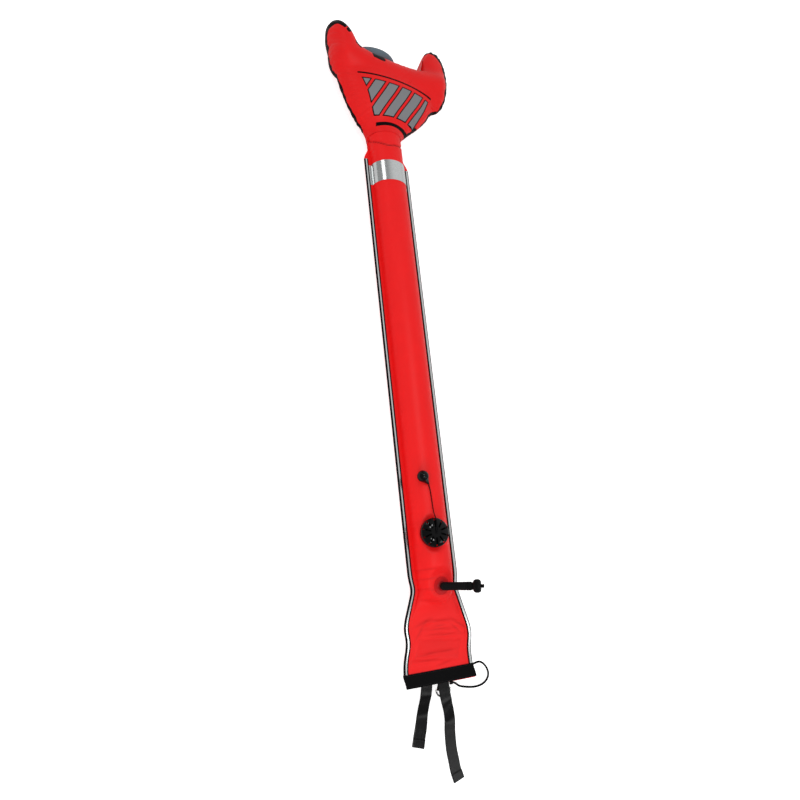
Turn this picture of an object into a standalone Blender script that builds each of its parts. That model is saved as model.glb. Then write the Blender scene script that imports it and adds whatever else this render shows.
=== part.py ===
"""Surface marker buoy with a hammer-shaped head, lying on its back.

Metres, +Z up. +Y runs along the tube towards the head and +X to the right of the front.
The origin lies in the flat strip on which the inflated tube rests.
"""
import math

import bmesh
import bpy
import numpy as np
from mathutils import Matrix, Vector

# Cloth and gaps
CLOTH = 0.0007
TOUCH_GAP = 0.0003
REST_DEPTH = 0.001

# Inflated tube, between its side welds
TUBE_HALF_WIDTH = 0.040
TUBE_HALF_HEIGHT = 0.038
TUBE_MID_Z = TUBE_HALF_HEIGHT - REST_DEPTH
HEM_Y = -0.520
NECK_Y = 0.675
FLAP_TOP_Y = 0.606
LEFT_FLAP_RISE = 0.010
FLAP_WIDTH = 0.016
NECK_FLAP_WIDTH = 0.003
NECK_FLAP_Y = 0.640

# Pressed-flat inlet end
FLAT_HALF_WIDTH = 0.0580
HEM_HALF_WIDTH = 0.0610
MOUTH_HALF_GAP = 0.0015
WIDEN_START_Y = -0.345
WIDEN_END_Y = -0.425
HEM_WIDEN_Y = -0.450
SINK_START_Y = -0.285
SINK_END_Y = -0.410
DROOP_START_Y = -0.320
DROOP_END_Y = -0.500
HEM_MID_Z = 0.020
PUCKER_Y = -0.342
PUCKER_DEPTH = 0.0035
PUCKER_LENGTH = 0.016
SWAY = 0.0060
SWAY_Y = -0.438
SWAY_LENGTH = 0.024
HEM_SWAY = 0.0045

# Trim along the edges
BINDING_WIDTH = 0.0078
BINDING_WALL = 0.0007
STRIP_WIDTH = 0.0042
STRIP_THICKNESS = 0.0004
BAND_HEIGHT = 0.0508
BAND_TOP_Y = 0.600
BAND_THICKNESS = 0.0004
HEM_HEIGHT = 0.0254
HEM_THICKNESS = 0.0012
HEM_OVERHANG = 0.0015

# Inlet baffles inside the flat end
BAFFLE_CLOTH = 0.0005
BAFFLE_LENGTH = 0.150
BAFFLE_MOUTH_HALF = 0.044
BAFFLE_LIP_HALF = 0.030

# Head, in its own plane: u across, v up from the neck
# Ovals are (u, v, half width, half length, height, turn); the bar's middle is a curve
HEAD_BODY = (0.0028, 0.1058, 0.1176, 0.1149, 0.0477, 0.0)
HEAD_BODY_TAPER = 0.41
LEFT_LOBE = (-0.1127, 0.2193, 0.0295, 0.0588, 0.0454, math.radians(25.0))
RIGHT_LOBE = (0.1332, 0.2214, 0.0382, 0.0827, 0.0329, 0.0)
BAR_MIDDLE = (0.1697, -0.022, 0.90)
BAR_HALF_LENGTH = 0.0440
BAR_HEIGHT = 0.0454
BAR_END = 0.030
HEAD_CENTRE_V = 0.080
HORN_RISE = 0.050
HORN_START_U = 0.080
HORN_END_U = 0.120
HEAD_BLEND = 0.0004
HEAD_LEAN = math.radians(5.5)
HEAD_LEAN_LENGTH = 0.100
HEAD_MID_Z = HEAD_BODY[4] - 2 * REST_DEPTH
NECK_FADE_START = 0.030
NECK_FADE = 0.37
CROWN_U = -0.017
CROWN_HALF_WIDTH = 0.052
CROWN_HEIGHT = 0.024
CROWN_HALF_DEPTH = 0.028
CROWN_GAP = 0.0020

# Dump valve, on its own axis, w = 0 at the outer face of the cloth
VALVE_Y = -0.239
VALVE_TILT = math.radians(13.0)
VALVE_SEAT_DROP = 0.0045
VALVE_SEAT_RADIUS = 0.027
VALVE_SEAT_BLEND = 0.040
SPIGOT_RADIUS = 0.018
SPIGOT_BORE = 0.0150
SPIGOT_HEIGHT = 0.005
INNER_FLANGE_RADIUS = 0.0245
INNER_FLANGE_THICKNESS = 0.0015
GASKET_RADIUS = 0.0235
GASKET_THICKNESS = 0.0012
VALVE_BODY_RADIUS = 0.0215
VALVE_BODY_HEIGHT = 0.0100
VALVE_WALL = 0.0018
SEAT_BORE = 0.0115
SEAT_WEB = 0.0014
SEAT_LIP_WIDTH = 0.0014
SEAT_LIP_HEIGHT = 0.0006
POPPET_RADIUS = 0.0160
POPPET_PLATE = 0.0014
POPPET_SEAL = 0.0010
POPPET_STEM_RADIUS = 0.0024
POPPET_PIN_RADIUS = 0.0018
POPPET_TRAVEL = 0.004
CAP_RADIUS = 0.0285
CAP_WALL = 0.0016
CAP_SKIRT_WALL = 0.0016
CAP_CLEARANCE = 0.0004
CAP_HEIGHT = 0.0200
CAP_HOLE = 0.0029
CAP_RIM_W = 0.0040
CAP_SHOULDER_W = 0.0110
CAP_SLOTS = 10
CAP_SLOT_WIDTH = 0.0042
CAP_SLOT_INNER = 0.0105
CAP_FLAT = 0.28 * CAP_RADIUS
VALVE_SPRING_RADIUS = 0.0075
VALVE_SPRING_WIRE = 0.0008
VALVE_SPRING_TURNS = 3.5

# Pull cord and its knob
CORD_RADIUS = 0.0009
KNOB_RADIUS = 0.0100
KNOB_LENGTH = 0.0245
KNOB_CENTRE = Vector((-0.0226, -0.1280, 0.0806))
KNOB_TIP_DIRECTION = Vector((0.64, -0.74, -0.19)).normalized()

# Oral inflator, on its own axis
INFLATOR_X = 0.004
INFLATOR_Y = -0.340
INFLATOR_SLOPE = math.radians(8.3)
INFLATOR_SEAT_DROP = 0.0010
INFLATOR_SEAT_RADIUS = 0.0215
INFLATOR_SEAT_BLEND = 0.031
INFLATOR_FLANGE_RADIUS = 0.0175
INFLATOR_FLANGE_THICKNESS = 0.0012
NIPPLE_RADIUS = 0.0050
NIPPLE_BORE = 0.0024
NIPPLE_DEPTH = 0.0045
BACKING_RADIUS = 0.0130
HOSE_RADIUS = 0.0080
HOSE_BORE = 0.0052
HOSE_LENGTH = 0.0440
HOSE_CLEARANCE = 0.0004
SOCKET_ANGLE = math.radians(50.0)
HOSE_LEAN = math.radians(50.0)
VALVE_SHOULDER_TOP = 0.0532
VALVE_NECK_TOP = 0.0560
VALVE_NECK_RADIUS = 0.0072
CHAMBER_RADIUS = 0.0056
RETAINER_THICKNESS = 0.0025
STEM_RADIUS = 0.0032
STEM_BORE = 0.0015
STEM_FLANGE_RADIUS = 0.0049
STEM_FLANGE_THICKNESS = 0.0012
CHECK_DISC_THICKNESS = 0.0010
CHAMBER_DEPTH = 0.0100
SPIGOT_SHARE = 0.62
MOUTHPIECE_TRAVEL = 0.0025
BEAD_PITCH = 0.0035
MOUTHPIECE_TIP = 0.0775
BEAD_SWELL = 1.12
LOCK_RING_RADIUS = 0.0128
LOCK_RING_LENGTH = 0.0150
LOCK_RING_ROUNDING = 0.42
LOCK_RING_FLUTES = 16
INFLATOR_SPRING_RADIUS = 0.0037
INFLATOR_SPRING_WIRE = 0.0005
INFLATOR_SPRING_TURNS = 3.0

# Hardware and webbing at the hem
STRAP_WIDTH = 0.0245
STRAP_THICKNESS = 0.0015
STRAP_FOLD_LENGTH = 0.016
D_RING_X = 0.0082
D_RING_Y = HEM_Y - 0.011
D_RING_Z = 0.0130
D_RING_WIRE_RADIUS = 0.00175
D_RING_RADIUS = 0.0155
D_RING_CORNER = 0.003
TAB_HALF_WIDTH = 0.0118
TAB_WALL = 0.0014
BUNGEE_RADIUS = 0.00175
BUNGEE_LEAVE_Y = -0.4968
FERRULE_RADIUS = 0.0030
FERRULE_LENGTH = 0.0055
FERRULE_X = 0.0212

STRAP_HINGE_INSET = 0.0010
STRAP_FLOOR = STRAP_THICKNESS / 2

# Routes: (x, z) at even steps away from the hem for the straps, points for the cords
SHORT_STRAP_ROUTE = [
    (-0.0310, 0.0200),
    (-0.0345, 0.0185),
    (-0.0355, 0.0085),
    (-0.0375, 0.0014),
    (-0.0424, STRAP_FLOOR),
    (-0.0484, STRAP_FLOOR),
    (-0.0540, STRAP_FLOOR),
]
LONG_STRAP_ROUTE = [
    (0.0065, 0.0200),
    (0.0070, 0.0201),
    (0.0100, 0.0188),
    (0.0175, 0.0090),
    (0.0222, 0.0016),
    (0.0203, STRAP_FLOOR),
    (0.0192, STRAP_FLOOR),
    (0.0192, STRAP_FLOOR),
    (0.0212, STRAP_FLOOR),
    (0.0232, STRAP_FLOOR),
    (0.0278, STRAP_FLOOR),
]
SHORT_STRAP_REACH = 0.106
LONG_STRAP_REACH = 0.178

PULL_CORD_ROUTE = [
    (-0.0125, -0.2350, 0.0945),
    (-0.0113, -0.2270, 0.0937),
    (-0.0098, -0.2180, 0.0905),
    (-0.0082, -0.2095, 0.0856),
    (-0.0068, -0.2015, 0.0800),
    (-0.0058, -0.1930, 0.0769),
    (-0.0058, -0.1800, 0.0761),
    (-0.0064, -0.1660, 0.0761),
    (-0.0076, -0.1520, 0.0761),
    (-0.0092, -0.1450, 0.0764),
]
BUNGEE_ROUTE = [
    (0.0860, -0.4963, HEM_MID_Z),
    (0.0905, -0.4943, 0.0195),
    (0.0965, -0.4943, 0.0181),
    (0.1045, -0.4982, 0.0150),
    (0.1140, -0.5056, 0.0104),
    (0.1222, -0.5147, 0.0055),
    (0.1255, -0.5250, 0.0024),
    (0.1200, -0.5344, 0.0019),
    (0.1060, -0.5413, 0.0019),
    (0.0855, -0.5426, 0.0019),
    (0.0660, -0.5390, 0.0021),
    (0.0515, -0.5352, 0.0062),
    (0.0400, -0.5295, 0.0135),
]

ARCH_STEPS = 14
HEAD_SIDES = 58
VALVE_SIDES = 32
SMALL_SIDES = 20


def clear_scene():
    """Remove every object, so the script can be run again."""
    for obj in list(bpy.data.objects):
        bpy.data.objects.remove(obj, do_unlink=True)


def material(name, colour, roughness, metallic=0.0, alpha=1.0):
    """Make a Principled material from a linear colour."""
    mat = bpy.data.materials.new(name)
    mat.use_nodes = True
    shader = mat.node_tree.nodes["Principled BSDF"]
    shader.inputs["Base Color"].default_value = (*colour, 1.0)
    shader.inputs["Roughness"].default_value = roughness
    shader.inputs["Metallic"].default_value = metallic
    shader.inputs["Alpha"].default_value = alpha
    return mat


def ease(t):
    """Smooth step from 0 to 1."""
    t = np.clip(t, 0.0, 1.0)
    return t * t * (3.0 - 2.0 * t)


def between(y, start, end):
    """Smooth step that is 0 at start and 1 at end, whichever is larger."""
    return ease((y - start) / (end - start))


def frame_matrix(origin, z_axis, x_axis):
    """Matrix of a frame whose Z follows one direction and whose X leans towards another."""
    z_axis = Vector(z_axis).normalized()
    y_axis = z_axis.cross(Vector(x_axis)).normalized()
    x_axis = y_axis.cross(z_axis)
    rotation = Matrix((x_axis, y_axis, z_axis)).transposed().to_4x4()
    return Matrix.Translation(origin) @ rotation


def frame_empty(name, origin, z_axis, x_axis):
    """Place an empty whose local Z and X follow the two directions."""
    empty = bpy.data.objects.new(name, None)
    bpy.context.collection.objects.link(empty)
    empty.matrix_world = frame_matrix(origin, z_axis, x_axis)
    return empty


def finish_mesh(name, vertices, faces, mat, parent=None, location=(0, 0, 0), sharp=35.0):
    """Turn points and faces into one smooth closed object with its faces out."""
    mesh = bpy.data.meshes.new(name)
    mesh.from_pydata([tuple(v) for v in vertices], [], faces)
    bm = bmesh.new()
    bm.from_mesh(mesh)
    bmesh.ops.remove_doubles(bm, verts=bm.verts, dist=1e-6)
    bmesh.ops.dissolve_degenerate(bm, edges=bm.edges, dist=1e-7)
    bmesh.ops.recalc_face_normals(bm, faces=bm.faces)
    bm.to_mesh(mesh)
    bm.free()
    mesh.materials.append(mat)
    mesh.shade_smooth()
    mesh.set_sharp_from_angle(angle=math.radians(sharp))
    obj = bpy.data.objects.new(name, mesh)
    bpy.context.collection.objects.link(obj)
    obj.location = location
    obj.parent = parent
    return obj


def wall_between(name, outer, inner, mat, **place):
    """Close the space between two grids of points (rows, columns, 3) of equal shape."""
    rows, columns = outer.shape[:2]
    count = rows * columns

    def index(row, column, inside):
        return row * columns + column + (count if inside else 0)

    faces = []
    for row in range(rows - 1):
        for column in range(columns - 1):
            ring = [(row, column), (row, column + 1), (row + 1, column + 1), (row + 1, column)]
            faces.append([index(r, c, False) for r, c in ring])
            faces.append([index(r, c, True) for r, c in reversed(ring)])
    border = [(0, c) for c in range(columns)] + [(r, columns - 1) for r in range(1, rows)]
    border += [(rows - 1, c) for c in range(columns - 2, -1, -1)]
    border += [(r, 0) for r in range(rows - 2, 0, -1)]
    for (r0, c0), (r1, c1) in zip(border, border[1:] + border[:1]):
        faces.append([index(r0, c0, False), index(r0, c0, True),
                      index(r1, c1, True), index(r1, c1, False)])
    vertices = np.concatenate([outer.reshape(-1, 3), inner.reshape(-1, 3)])
    return finish_mesh(name, vertices, faces, mat, **place)


def lofted(name, sections, mat, **place):
    """Skin closed sections of equal point count, with a cap at each end."""
    rings, points = sections.shape[:2]
    faces = [list(range(points)), [(rings - 1) * points + k for k in range(points)]]
    for ring in range(rings - 1):
        for k in range(points):
            after = (k + 1) % points
            faces.append([ring * points + k, ring * points + after,
                          (ring + 1) * points + after, (ring + 1) * points + k])
    return finish_mesh(name, sections.reshape(-1, 3), faces, mat, **place)


def turned(name, profile, mat, sides=VALVE_SIDES, flutes=None, **place):
    """Turn a closed profile of (radius, height) points round Z.

    flutes is (least radius, depth): points further out step in on every other side.
    """
    angles = np.arange(sides) * math.tau / sides
    vertices = []
    for k, angle in enumerate(angles):
        for radius, height in profile:
            if flutes and k % 2 and radius > flutes[0]:
                radius = radius - flutes[1]
            vertices.append((radius * math.cos(angle), radius * math.sin(angle), height))
    points = len(profile)
    faces = []
    for k in range(sides):
        after = (k + 1) % sides
        for p in range(points):
            q = (p + 1) % points
            faces.append([k * points + p, after * points + p, after * points + q, k * points + q])
    return finish_mesh(name, vertices, faces, mat, **place)


def rod_cutter(name, radius, low, high, parent):
    """Make a hidden round cutter on the parent's Z axis."""
    profile = [(0.0, low), (radius, low), (radius, high), (0.0, high)]
    cutter = turned(name, profile, None, parent=parent)
    hide(cutter)
    return cutter


def hide(obj):
    """Mark a cutter, so that it isn't a piece."""
    obj.hide_render = True
    obj.display_type = "WIRE"


def cut(obj, cutter):
    """Subtract the cutter from the object."""
    modifier = obj.modifiers.new("Cut " + cutter.name, "BOOLEAN")
    modifier.operation = "DIFFERENCE"
    modifier.solver = "EXACT"
    modifier.object = cutter


def smooth_route(points, step):
    """Read evenly spaced points from a smooth curve through the route."""
    route = [Vector(p) for p in points]
    route = [route[0] * 2 - route[1]] + route + [route[-1] * 2 - route[-2]]
    dense = []
    for a, b, c, d in zip(route, route[1:], route[2:], route[3:]):
        for k in range(16):
            t = k / 16
            dense.append(0.5 * ((2 * b) + (c - a) * t + (2 * a - 5 * b + 4 * c - d) * t * t
                                + (3 * b - a - 3 * c + d) * t ** 3))
    dense.append(route[-2])
    dense = np.array(dense)
    lengths = np.concatenate([[0.0], np.cumsum(np.linalg.norm(np.diff(dense, axis=0), axis=1))])
    marks = np.linspace(0.0, lengths[-1], max(3, round(lengths[-1] / step) + 1))
    return np.stack([np.interp(marks, lengths, dense[:, k]) for k in range(3)], axis=1)


def tube_along(name, points, radius, mat, resolution=2, parent=None, cyclic=False):
    """Make a round tube with filled ends along points in the parent's frame."""
    curve = bpy.data.curves.new(name, "CURVE")
    curve.dimensions = "3D"
    curve.bevel_depth = radius
    curve.bevel_resolution = resolution
    curve.use_fill_caps = not cyclic
    spline = curve.splines.new("POLY")
    spline.points.add(len(points) - 1)
    for target, point in zip(spline.points, points):
        target.co = (*point, 1.0)
    spline.use_cyclic_u = cyclic
    curve.materials.append(mat)
    obj = bpy.data.objects.new(name, curve)
    bpy.context.collection.objects.link(obj)
    obj.parent = parent
    return obj


def least_gap(points, wire, apart):
    """Least gap of a wound wire to itself, between points further apart than that many steps."""
    points = np.asarray(points)
    distance = np.linalg.norm(points[:, None] - points[None], axis=2)
    index = np.arange(len(points))
    far = np.abs(index[:, None] - index[None]) >= apart
    return float(distance[far].min() - wire)


def coil_spring(name, radius, wire, turns, low, high, mat, parent):
    """Wind a compression spring between two heights and print its least gap."""
    per_turn = 10
    steps = int(turns * per_turn)
    t = np.arange(steps + 1) / per_turn
    rise = (high - low - wire) / turns
    points = np.stack([radius * np.cos(t * math.tau), radius * np.sin(t * math.tau),
                       low + wire / 2 + rise * t], axis=1)
    print(name, "least gap mm", round(1000 * least_gap(points, wire, per_turn - 1), 2))
    return tube_along(name, points, wire / 2, mat, resolution=1, parent=parent)


# Shape of the tube

def half_width(y):
    """Half the width between the side welds."""
    wide = TUBE_HALF_WIDTH
    wide = wide + (FLAT_HALF_WIDTH - TUBE_HALF_WIDTH) * between(y, WIDEN_START_Y, WIDEN_END_Y)
    wide = wide + (HEM_HALF_WIDTH - FLAT_HALF_WIDTH) * between(y, HEM_WIDEN_Y, HEM_Y + HEM_HEIGHT)
    return wide - PUCKER_DEPTH * np.exp(-((y - PUCKER_Y) / PUCKER_LENGTH) ** 2)


def sway(y):
    """Sideways drift of the limp flat end from the axis."""
    bow = SWAY * np.exp(-((y - SWAY_Y) / SWAY_LENGTH) ** 2)
    return bow + HEM_SWAY * between(y, HEM_Y + HEM_HEIGHT, HEM_Y)


def half_height(y):
    """Half the outer height of the tube."""
    flat = MOUTH_HALF_GAP + CLOTH + TOUCH_GAP / 2
    return TUBE_HALF_HEIGHT - (TUBE_HALF_HEIGHT - flat) * between(y, SINK_START_Y, SINK_END_Y)


def mid_height(y):
    """Height of the seam plane above the ground."""
    return TUBE_MID_Z - (TUBE_MID_Z - HEM_MID_Z) * between(y, DROOP_START_Y, DROOP_END_Y)


def edge_x(y, sign):
    """Distance of the cut edge of the cloth from the axis, on the right (+1) or left (-1).

    The left flap keeps its full width further up.
    """
    rise = LEFT_FLAP_RISE if sign < 0 else 0.0
    taper = between(y - rise, FLAP_TOP_Y, NECK_FLAP_Y)
    return half_width(y) + FLAP_WIDTH - (FLAP_WIDTH - NECK_FLAP_WIDTH) * taper


def tube_stations(start, end, fine):
    """Stations along the tube, closer together at the flat end and, if fine, at the fittings."""
    marks = [HEM_Y, HEM_Y + HEM_HEIGHT, WIDEN_END_Y, WIDEN_START_Y - 0.02, PUCKER_Y + 0.03,
             VALVE_Y - 0.042, VALVE_Y + 0.042, BAND_TOP_Y - BAND_HEIGHT, BAND_TOP_Y,
             FLAP_TOP_Y, FLAP_TOP_Y + LEFT_FLAP_RISE, NECK_FLAP_Y, NECK_Y]
    spans = [0.026, 0.012, 0.012, 0.009, 0.010, 0.0075, 0.110, 0.060, 0.060, 0.020, 0.020, 0.040]
    if not fine:
        spans = spans[:4] + [0.030, 0.040, 0.160, 0.060, 0.060, 0.020, 0.034, 0.040]
    stations = [marks[0]]
    for low, high, span in zip(marks, marks[1:], spans):
        steps = max(1, round((high - low) / span))
        stations += list(np.linspace(low, high, steps + 1)[1:])
    kept = [y for y in stations if start + 1e-6 < y < end - 1e-6]
    return np.array([start] + kept + [end])


def cloth_surface(stations, offset, side, reach=None):
    """Grid of points on one panel's cloth, the offset being measured out from its inner face.

    Across, the columns are the cut edge, the half ellipse between the welds and the other
    edge. side is +1 for the front and -1 for the back. reach gives the distance of the left
    (-1) or right (+1) edge from the axis, if it isn't the cloth's own.
    """
    angles = np.linspace(math.pi, 0.0, ARCH_STEPS + 1)
    rows = []
    for y in stations:
        a = half_width(y)
        c = half_height(y) - CLOTH - TOUCH_GAP / 2
        left, right = (edge_x(y, k) if reach is None else reach(y, k) for k in (-1, 1))
        x = np.concatenate([[-left], (a + offset) * np.cos(angles), [right]])
        z = np.concatenate([[0.0], c * np.sin(angles), [0.0]]) + TOUCH_GAP / 2 + offset
        rows.append(np.stack([sway(y) + x, np.full_like(x, y), mid_height(y) + side * z], axis=1))
    return np.array(rows)


def seat_flat(grid, origin, normal, radius, blend):
    """Press the points near a fitting into the plane it is welded to."""
    normal = np.array(normal)
    offset = grid - np.array(origin)
    height = offset @ normal
    spread = np.linalg.norm(offset - height[..., None] * normal, axis=-1)
    weight = 1.0 - ease((spread - radius) / (blend - radius))
    return grid - (height * weight)[..., None] * normal


def fitting_seats():
    """Origin and normal of the plane under the dump valve and under the inflator."""
    valve_normal = Vector((-math.sin(VALVE_TILT), 0.0, math.cos(VALVE_TILT)))
    valve_origin = Vector((0.0, VALVE_Y, mid_height(VALVE_Y)))
    valve_origin += valve_normal * (TUBE_HALF_HEIGHT - VALVE_SEAT_DROP)
    inflator_normal = Vector((0.0, -math.sin(INFLATOR_SLOPE), math.cos(INFLATOR_SLOPE)))
    top = mid_height(INFLATOR_Y) + half_height(INFLATOR_Y) - INFLATOR_SEAT_DROP
    inflator_origin = Vector((INFLATOR_X, INFLATOR_Y, top))
    return (valve_origin, valve_normal), (inflator_origin, inflator_normal)


def make_tube_panels(mats, valve_frame, inflator_frame):
    """Front and back cloth of the tube, with holes for the two fittings."""
    stations = tube_stations(HEM_Y, NECK_Y, fine=True)
    grids = []
    for offset in (CLOTH, 0.0):
        grid = cloth_surface(stations, offset, 1)
        seats = fitting_seats()
        sizes = ((VALVE_SEAT_RADIUS, VALVE_SEAT_BLEND), (INFLATOR_SEAT_RADIUS, INFLATOR_SEAT_BLEND))
        for (origin, normal), (radius, blend) in zip(seats, sizes):
            grid = seat_flat(grid, origin - normal * (CLOTH - offset), normal, radius, blend)
        grids.append(grid)
    front = wall_between("tube_front_panel", grids[0], grids[1], mats["cloth"])
    cut(front, rod_cutter("valve_hole", SPIGOT_RADIUS + TOUCH_GAP, -0.010, 0.006, valve_frame))
    cut(front, rod_cutter("inflator_hole", NIPPLE_RADIUS + TOUCH_GAP, -0.008, 0.006, inflator_frame))

    stations = tube_stations(HEM_Y, NECK_Y, fine=False)
    outer = cloth_surface(stations, CLOTH, -1)
    inner = cloth_surface(stations, 0.0, -1)
    outer[..., 2] = np.maximum(outer[..., 2], 0.0)
    inner[..., 2] = np.maximum(inner[..., 2], CLOTH)
    wall_between("tube_back_panel", outer, inner, mats["cloth"])


def make_trim(mats):
    """Edge bindings, reflective strips, reflective band and hem bands."""
    slot = TOUCH_GAP / 2 + CLOTH + TOUCH_GAP
    outside = slot + BINDING_WALL
    strip_low = outside + TOUCH_GAP
    strip_high = strip_low + STRIP_THICKNESS
    for name, sign, top in (("left", -1, FLAP_TOP_Y + LEFT_FLAP_RISE), ("right", 1, FLAP_TOP_Y)):
        binding, strip = [], []
        for y in tube_stations(HEM_Y + HEM_HEIGHT + TOUCH_GAP, top, fine=False):
            edge = edge_x(y, sign)
            fold = edge + TOUCH_GAP
            back = edge - BINDING_WIDTH
            far = fold + BINDING_WALL
            section = [(back, slot), (back, outside), (far, outside), (far, -outside),
                       (back, -outside), (back, -slot), (fold, -slot), (fold, slot)]
            binding.append([(sway(y) + sign * x, y, mid_height(y) + z) for x, z in section])
            middle = (back + far) / 2
            near, away = middle - STRIP_WIDTH / 2, middle + STRIP_WIDTH / 2
            section = [(near, strip_low), (near, strip_high), (away, strip_high), (away, strip_low)]
            strip.append([(sway(y) + sign * x, y, mid_height(y) + z) for x, z in section])
        lofted(name + "_edge_binding", np.array(binding), mats["webbing"])
        lofted(name + "_reflective_strip", np.array(strip), mats["reflective"])

    def band_reach(y, sign):
        return edge_x(y, sign) - BINDING_WIDTH - TOUCH_GAP

    stations = np.array([BAND_TOP_Y - BAND_HEIGHT, BAND_TOP_Y])
    low = CLOTH + TOUCH_GAP
    wall_between("top_reflective_band", cloth_surface(stations, low + BAND_THICKNESS, 1, band_reach),
                 cloth_surface(stations, low, 1, band_reach), mats["reflective"])

    def hem_reach(y, sign):
        return edge_x(y, sign) + HEM_OVERHANG

    stations = np.linspace(HEM_Y, HEM_Y + HEM_HEIGHT, 3)
    for name, side in (("hem_band_front", 1), ("hem_band_back", -1)):
        wall_between(name, cloth_surface(stations, low + HEM_THICKNESS, side, hem_reach),
                     cloth_surface(stations, low, side, hem_reach), mats["webbing"])


def make_baffles(mats):
    """Two sheets inside the mouth that press together and keep the air in."""
    stations = np.linspace(HEM_Y + TOUCH_GAP, HEM_Y + BAFFLE_LENGTH, 9)
    inward = between(stations, HEM_Y + HEM_HEIGHT, HEM_Y + BAFFLE_LENGTH)[:, None]
    half = BAFFLE_MOUTH_HALF - (BAFFLE_MOUTH_HALF - BAFFLE_LIP_HALF) * inward
    x = half * np.linspace(-1.0, 1.0, 7)
    mouth = MOUTH_HALF_GAP * np.sqrt(1.0 - (x / HEM_HALF_WIDTH) ** 2) - TOUCH_GAP / 2
    lip = TOUCH_GAP / 2 + BAFFLE_CLOTH
    height = mouth + (lip - mouth) * inward
    y = np.broadcast_to(stations[:, None], x.shape)
    x = x + sway(y)
    for name, side in (("inlet_baffle_front", 1), ("inlet_baffle_back", -1)):
        faces = [np.stack([x, y, mid_height(y) + side * level], axis=-1)
                 for level in (height, height - BAFFLE_CLOTH)]
        wall_between(name, faces[0], faces[1], mats["baffle"])


# Shape of the head

def smooth_max(a, b):
    """Larger of two fields, rounded where they meet."""
    return 0.5 * (a + b + np.sqrt((a - b) ** 2 + HEAD_BLEND ** 2))


def oval(u, v, shape, taper=0.0):
    """Squared height of an ellipsoid over the head's plane, wider upwards if it tapers."""
    middle_u, middle_v, half_u, half_v, height, turn = shape
    du, dv = u - middle_u, v - middle_v
    across = du * math.cos(turn) + dv * math.sin(turn)
    along = dv * math.cos(turn) - du * math.sin(turn)
    half_u = np.maximum(half_u * (1 + taper * dv / half_v), half_u / 8)
    return height ** 2 * (1 - (across / half_u) ** 2 - (along / half_v) ** 2)


def bar_middle(u):
    """Middle line of the bar between the lobes."""
    level, slope, bend = BAR_MIDDLE
    return level + slope * u + bend * u * u


def head_field(u, v):
    """Squared height of the inflated head above its seam plane; negative outside it.

    An egg for the body, an ellipsoid for each lobe and a capsule for the bar between
    them, each of which falls to zero at its own edge, joined to the round neck.
    """
    body = oval(u, v, HEAD_BODY, HEAD_BODY_TAPER)
    lobes = smooth_max(oval(u, v, LEFT_LOBE), oval(u, v, RIGHT_LOBE))
    past = np.maximum(np.maximum(LEFT_LOBE[0] - u, u - RIGHT_LOBE[0]), 0.0)
    rise = (v - bar_middle(u)) / BAR_HALF_LENGTH
    bar = BAR_HEIGHT ** 2 * (1 - (past / BAR_END) ** 2 - rise ** 2)
    neck = TUBE_HALF_HEIGHT ** 2 * (1 - (u / (TUBE_HALF_WIDTH + CLOTH)) ** 2)
    neck = neck - NECK_FADE * np.maximum(v - NECK_FADE_START, 0.0) ** 2
    return smooth_max(smooth_max(body, neck), smooth_max(bar, lobes))


def head_height(u, v):
    """Height of the head's outer face above its seam plane."""
    return np.sqrt(np.maximum(head_field(u, v), 0.0))


def head_place(u, v, z):
    """Put points of the head's plane in place: raised clear of the ground and leaning."""
    angle = HEAD_LEAN * ease(v / HEAD_LEAN_LENGTH)
    x = u * np.cos(angle) + v * np.sin(angle)
    y = NECK_Y + TOUCH_GAP + v * np.cos(angle) - u * np.sin(angle)
    middle = TUBE_MID_Z + (HEAD_MID_Z - TUBE_MID_Z) * ease(v / HEAD_LEAN_LENGTH)
    return np.stack([x, y, middle + z], axis=-1)


def first_zero(values, marks):
    """Where each row of values first falls below zero, by straight interpolation."""
    index = np.argmax(values < 0.0, axis=-1)
    rows = np.arange(len(values))
    before, after = values[rows, index - 1], values[rows, index]
    return marks[index - 1] + (marks[index] - marks[index - 1]) * before / (before - after)


def head_point(angle, reach):
    """Point of the head's plane at a reach from its centre; rays bend up into the tall lobe."""
    u = reach * np.cos(angle)
    lift = HORN_RISE * between(u, HORN_START_U, HORN_END_U)
    return u, HEAD_CENTRE_V + reach * np.sin(angle) + lift


def head_reach(angles):
    """Reach from the head's centre to its outline or to the neck's opening."""
    marks = np.linspace(0.0, 0.36, 721)
    u, v = head_point(angles[:, None], marks)
    return first_zero(np.minimum(head_field(u, v), v * HEAD_BODY[4]), marks)


def head_rays():
    """Angles round the head's centre, their reach and which of them end at the neck.

    The angles divide the outline into equal lengths.
    """
    opening = math.atan2(HEAD_CENTRE_V, TUBE_HALF_WIDTH + CLOTH)
    mouth = np.linspace(opening - math.pi, -opening, 7)
    around = np.linspace(-opening, math.pi + opening, 721)
    outline = np.stack(head_point(around, head_reach(around)))
    steps = np.linalg.norm(np.diff(outline, axis=1), axis=0)
    lengths = np.concatenate([[0.0], np.cumsum(steps)])
    rest = np.interp(np.linspace(0.0, lengths[-1], HEAD_SIDES + 1)[1:-1], lengths, around)
    angles = np.concatenate([mouth, rest])
    return angles, head_reach(angles), np.arange(len(angles)) < len(mouth)


def dome_wall(name, outer, inner, mat):
    """Close a cup between two grids whose first row is a pole and whose columns go round."""
    rows, columns = outer.shape[:2]
    count = rows * columns
    faces = []
    for column in range(columns):
        after = (column + 1) % columns
        for row in range(rows - 1):
            a, b = row * columns + column, row * columns + after
            c, d = a + columns, b + columns
            faces.append([a, b, d, c])
            faces.append([a + count, c + count, d + count, b + count])
        a, b = (rows - 1) * columns + column, (rows - 1) * columns + after
        faces.append([a, b, b + count, a + count])
    vertices = np.concatenate([outer.reshape(-1, 3), inner.reshape(-1, 3)])
    return finish_mesh(name, vertices, faces, mat, sharp=60.0)


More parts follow.
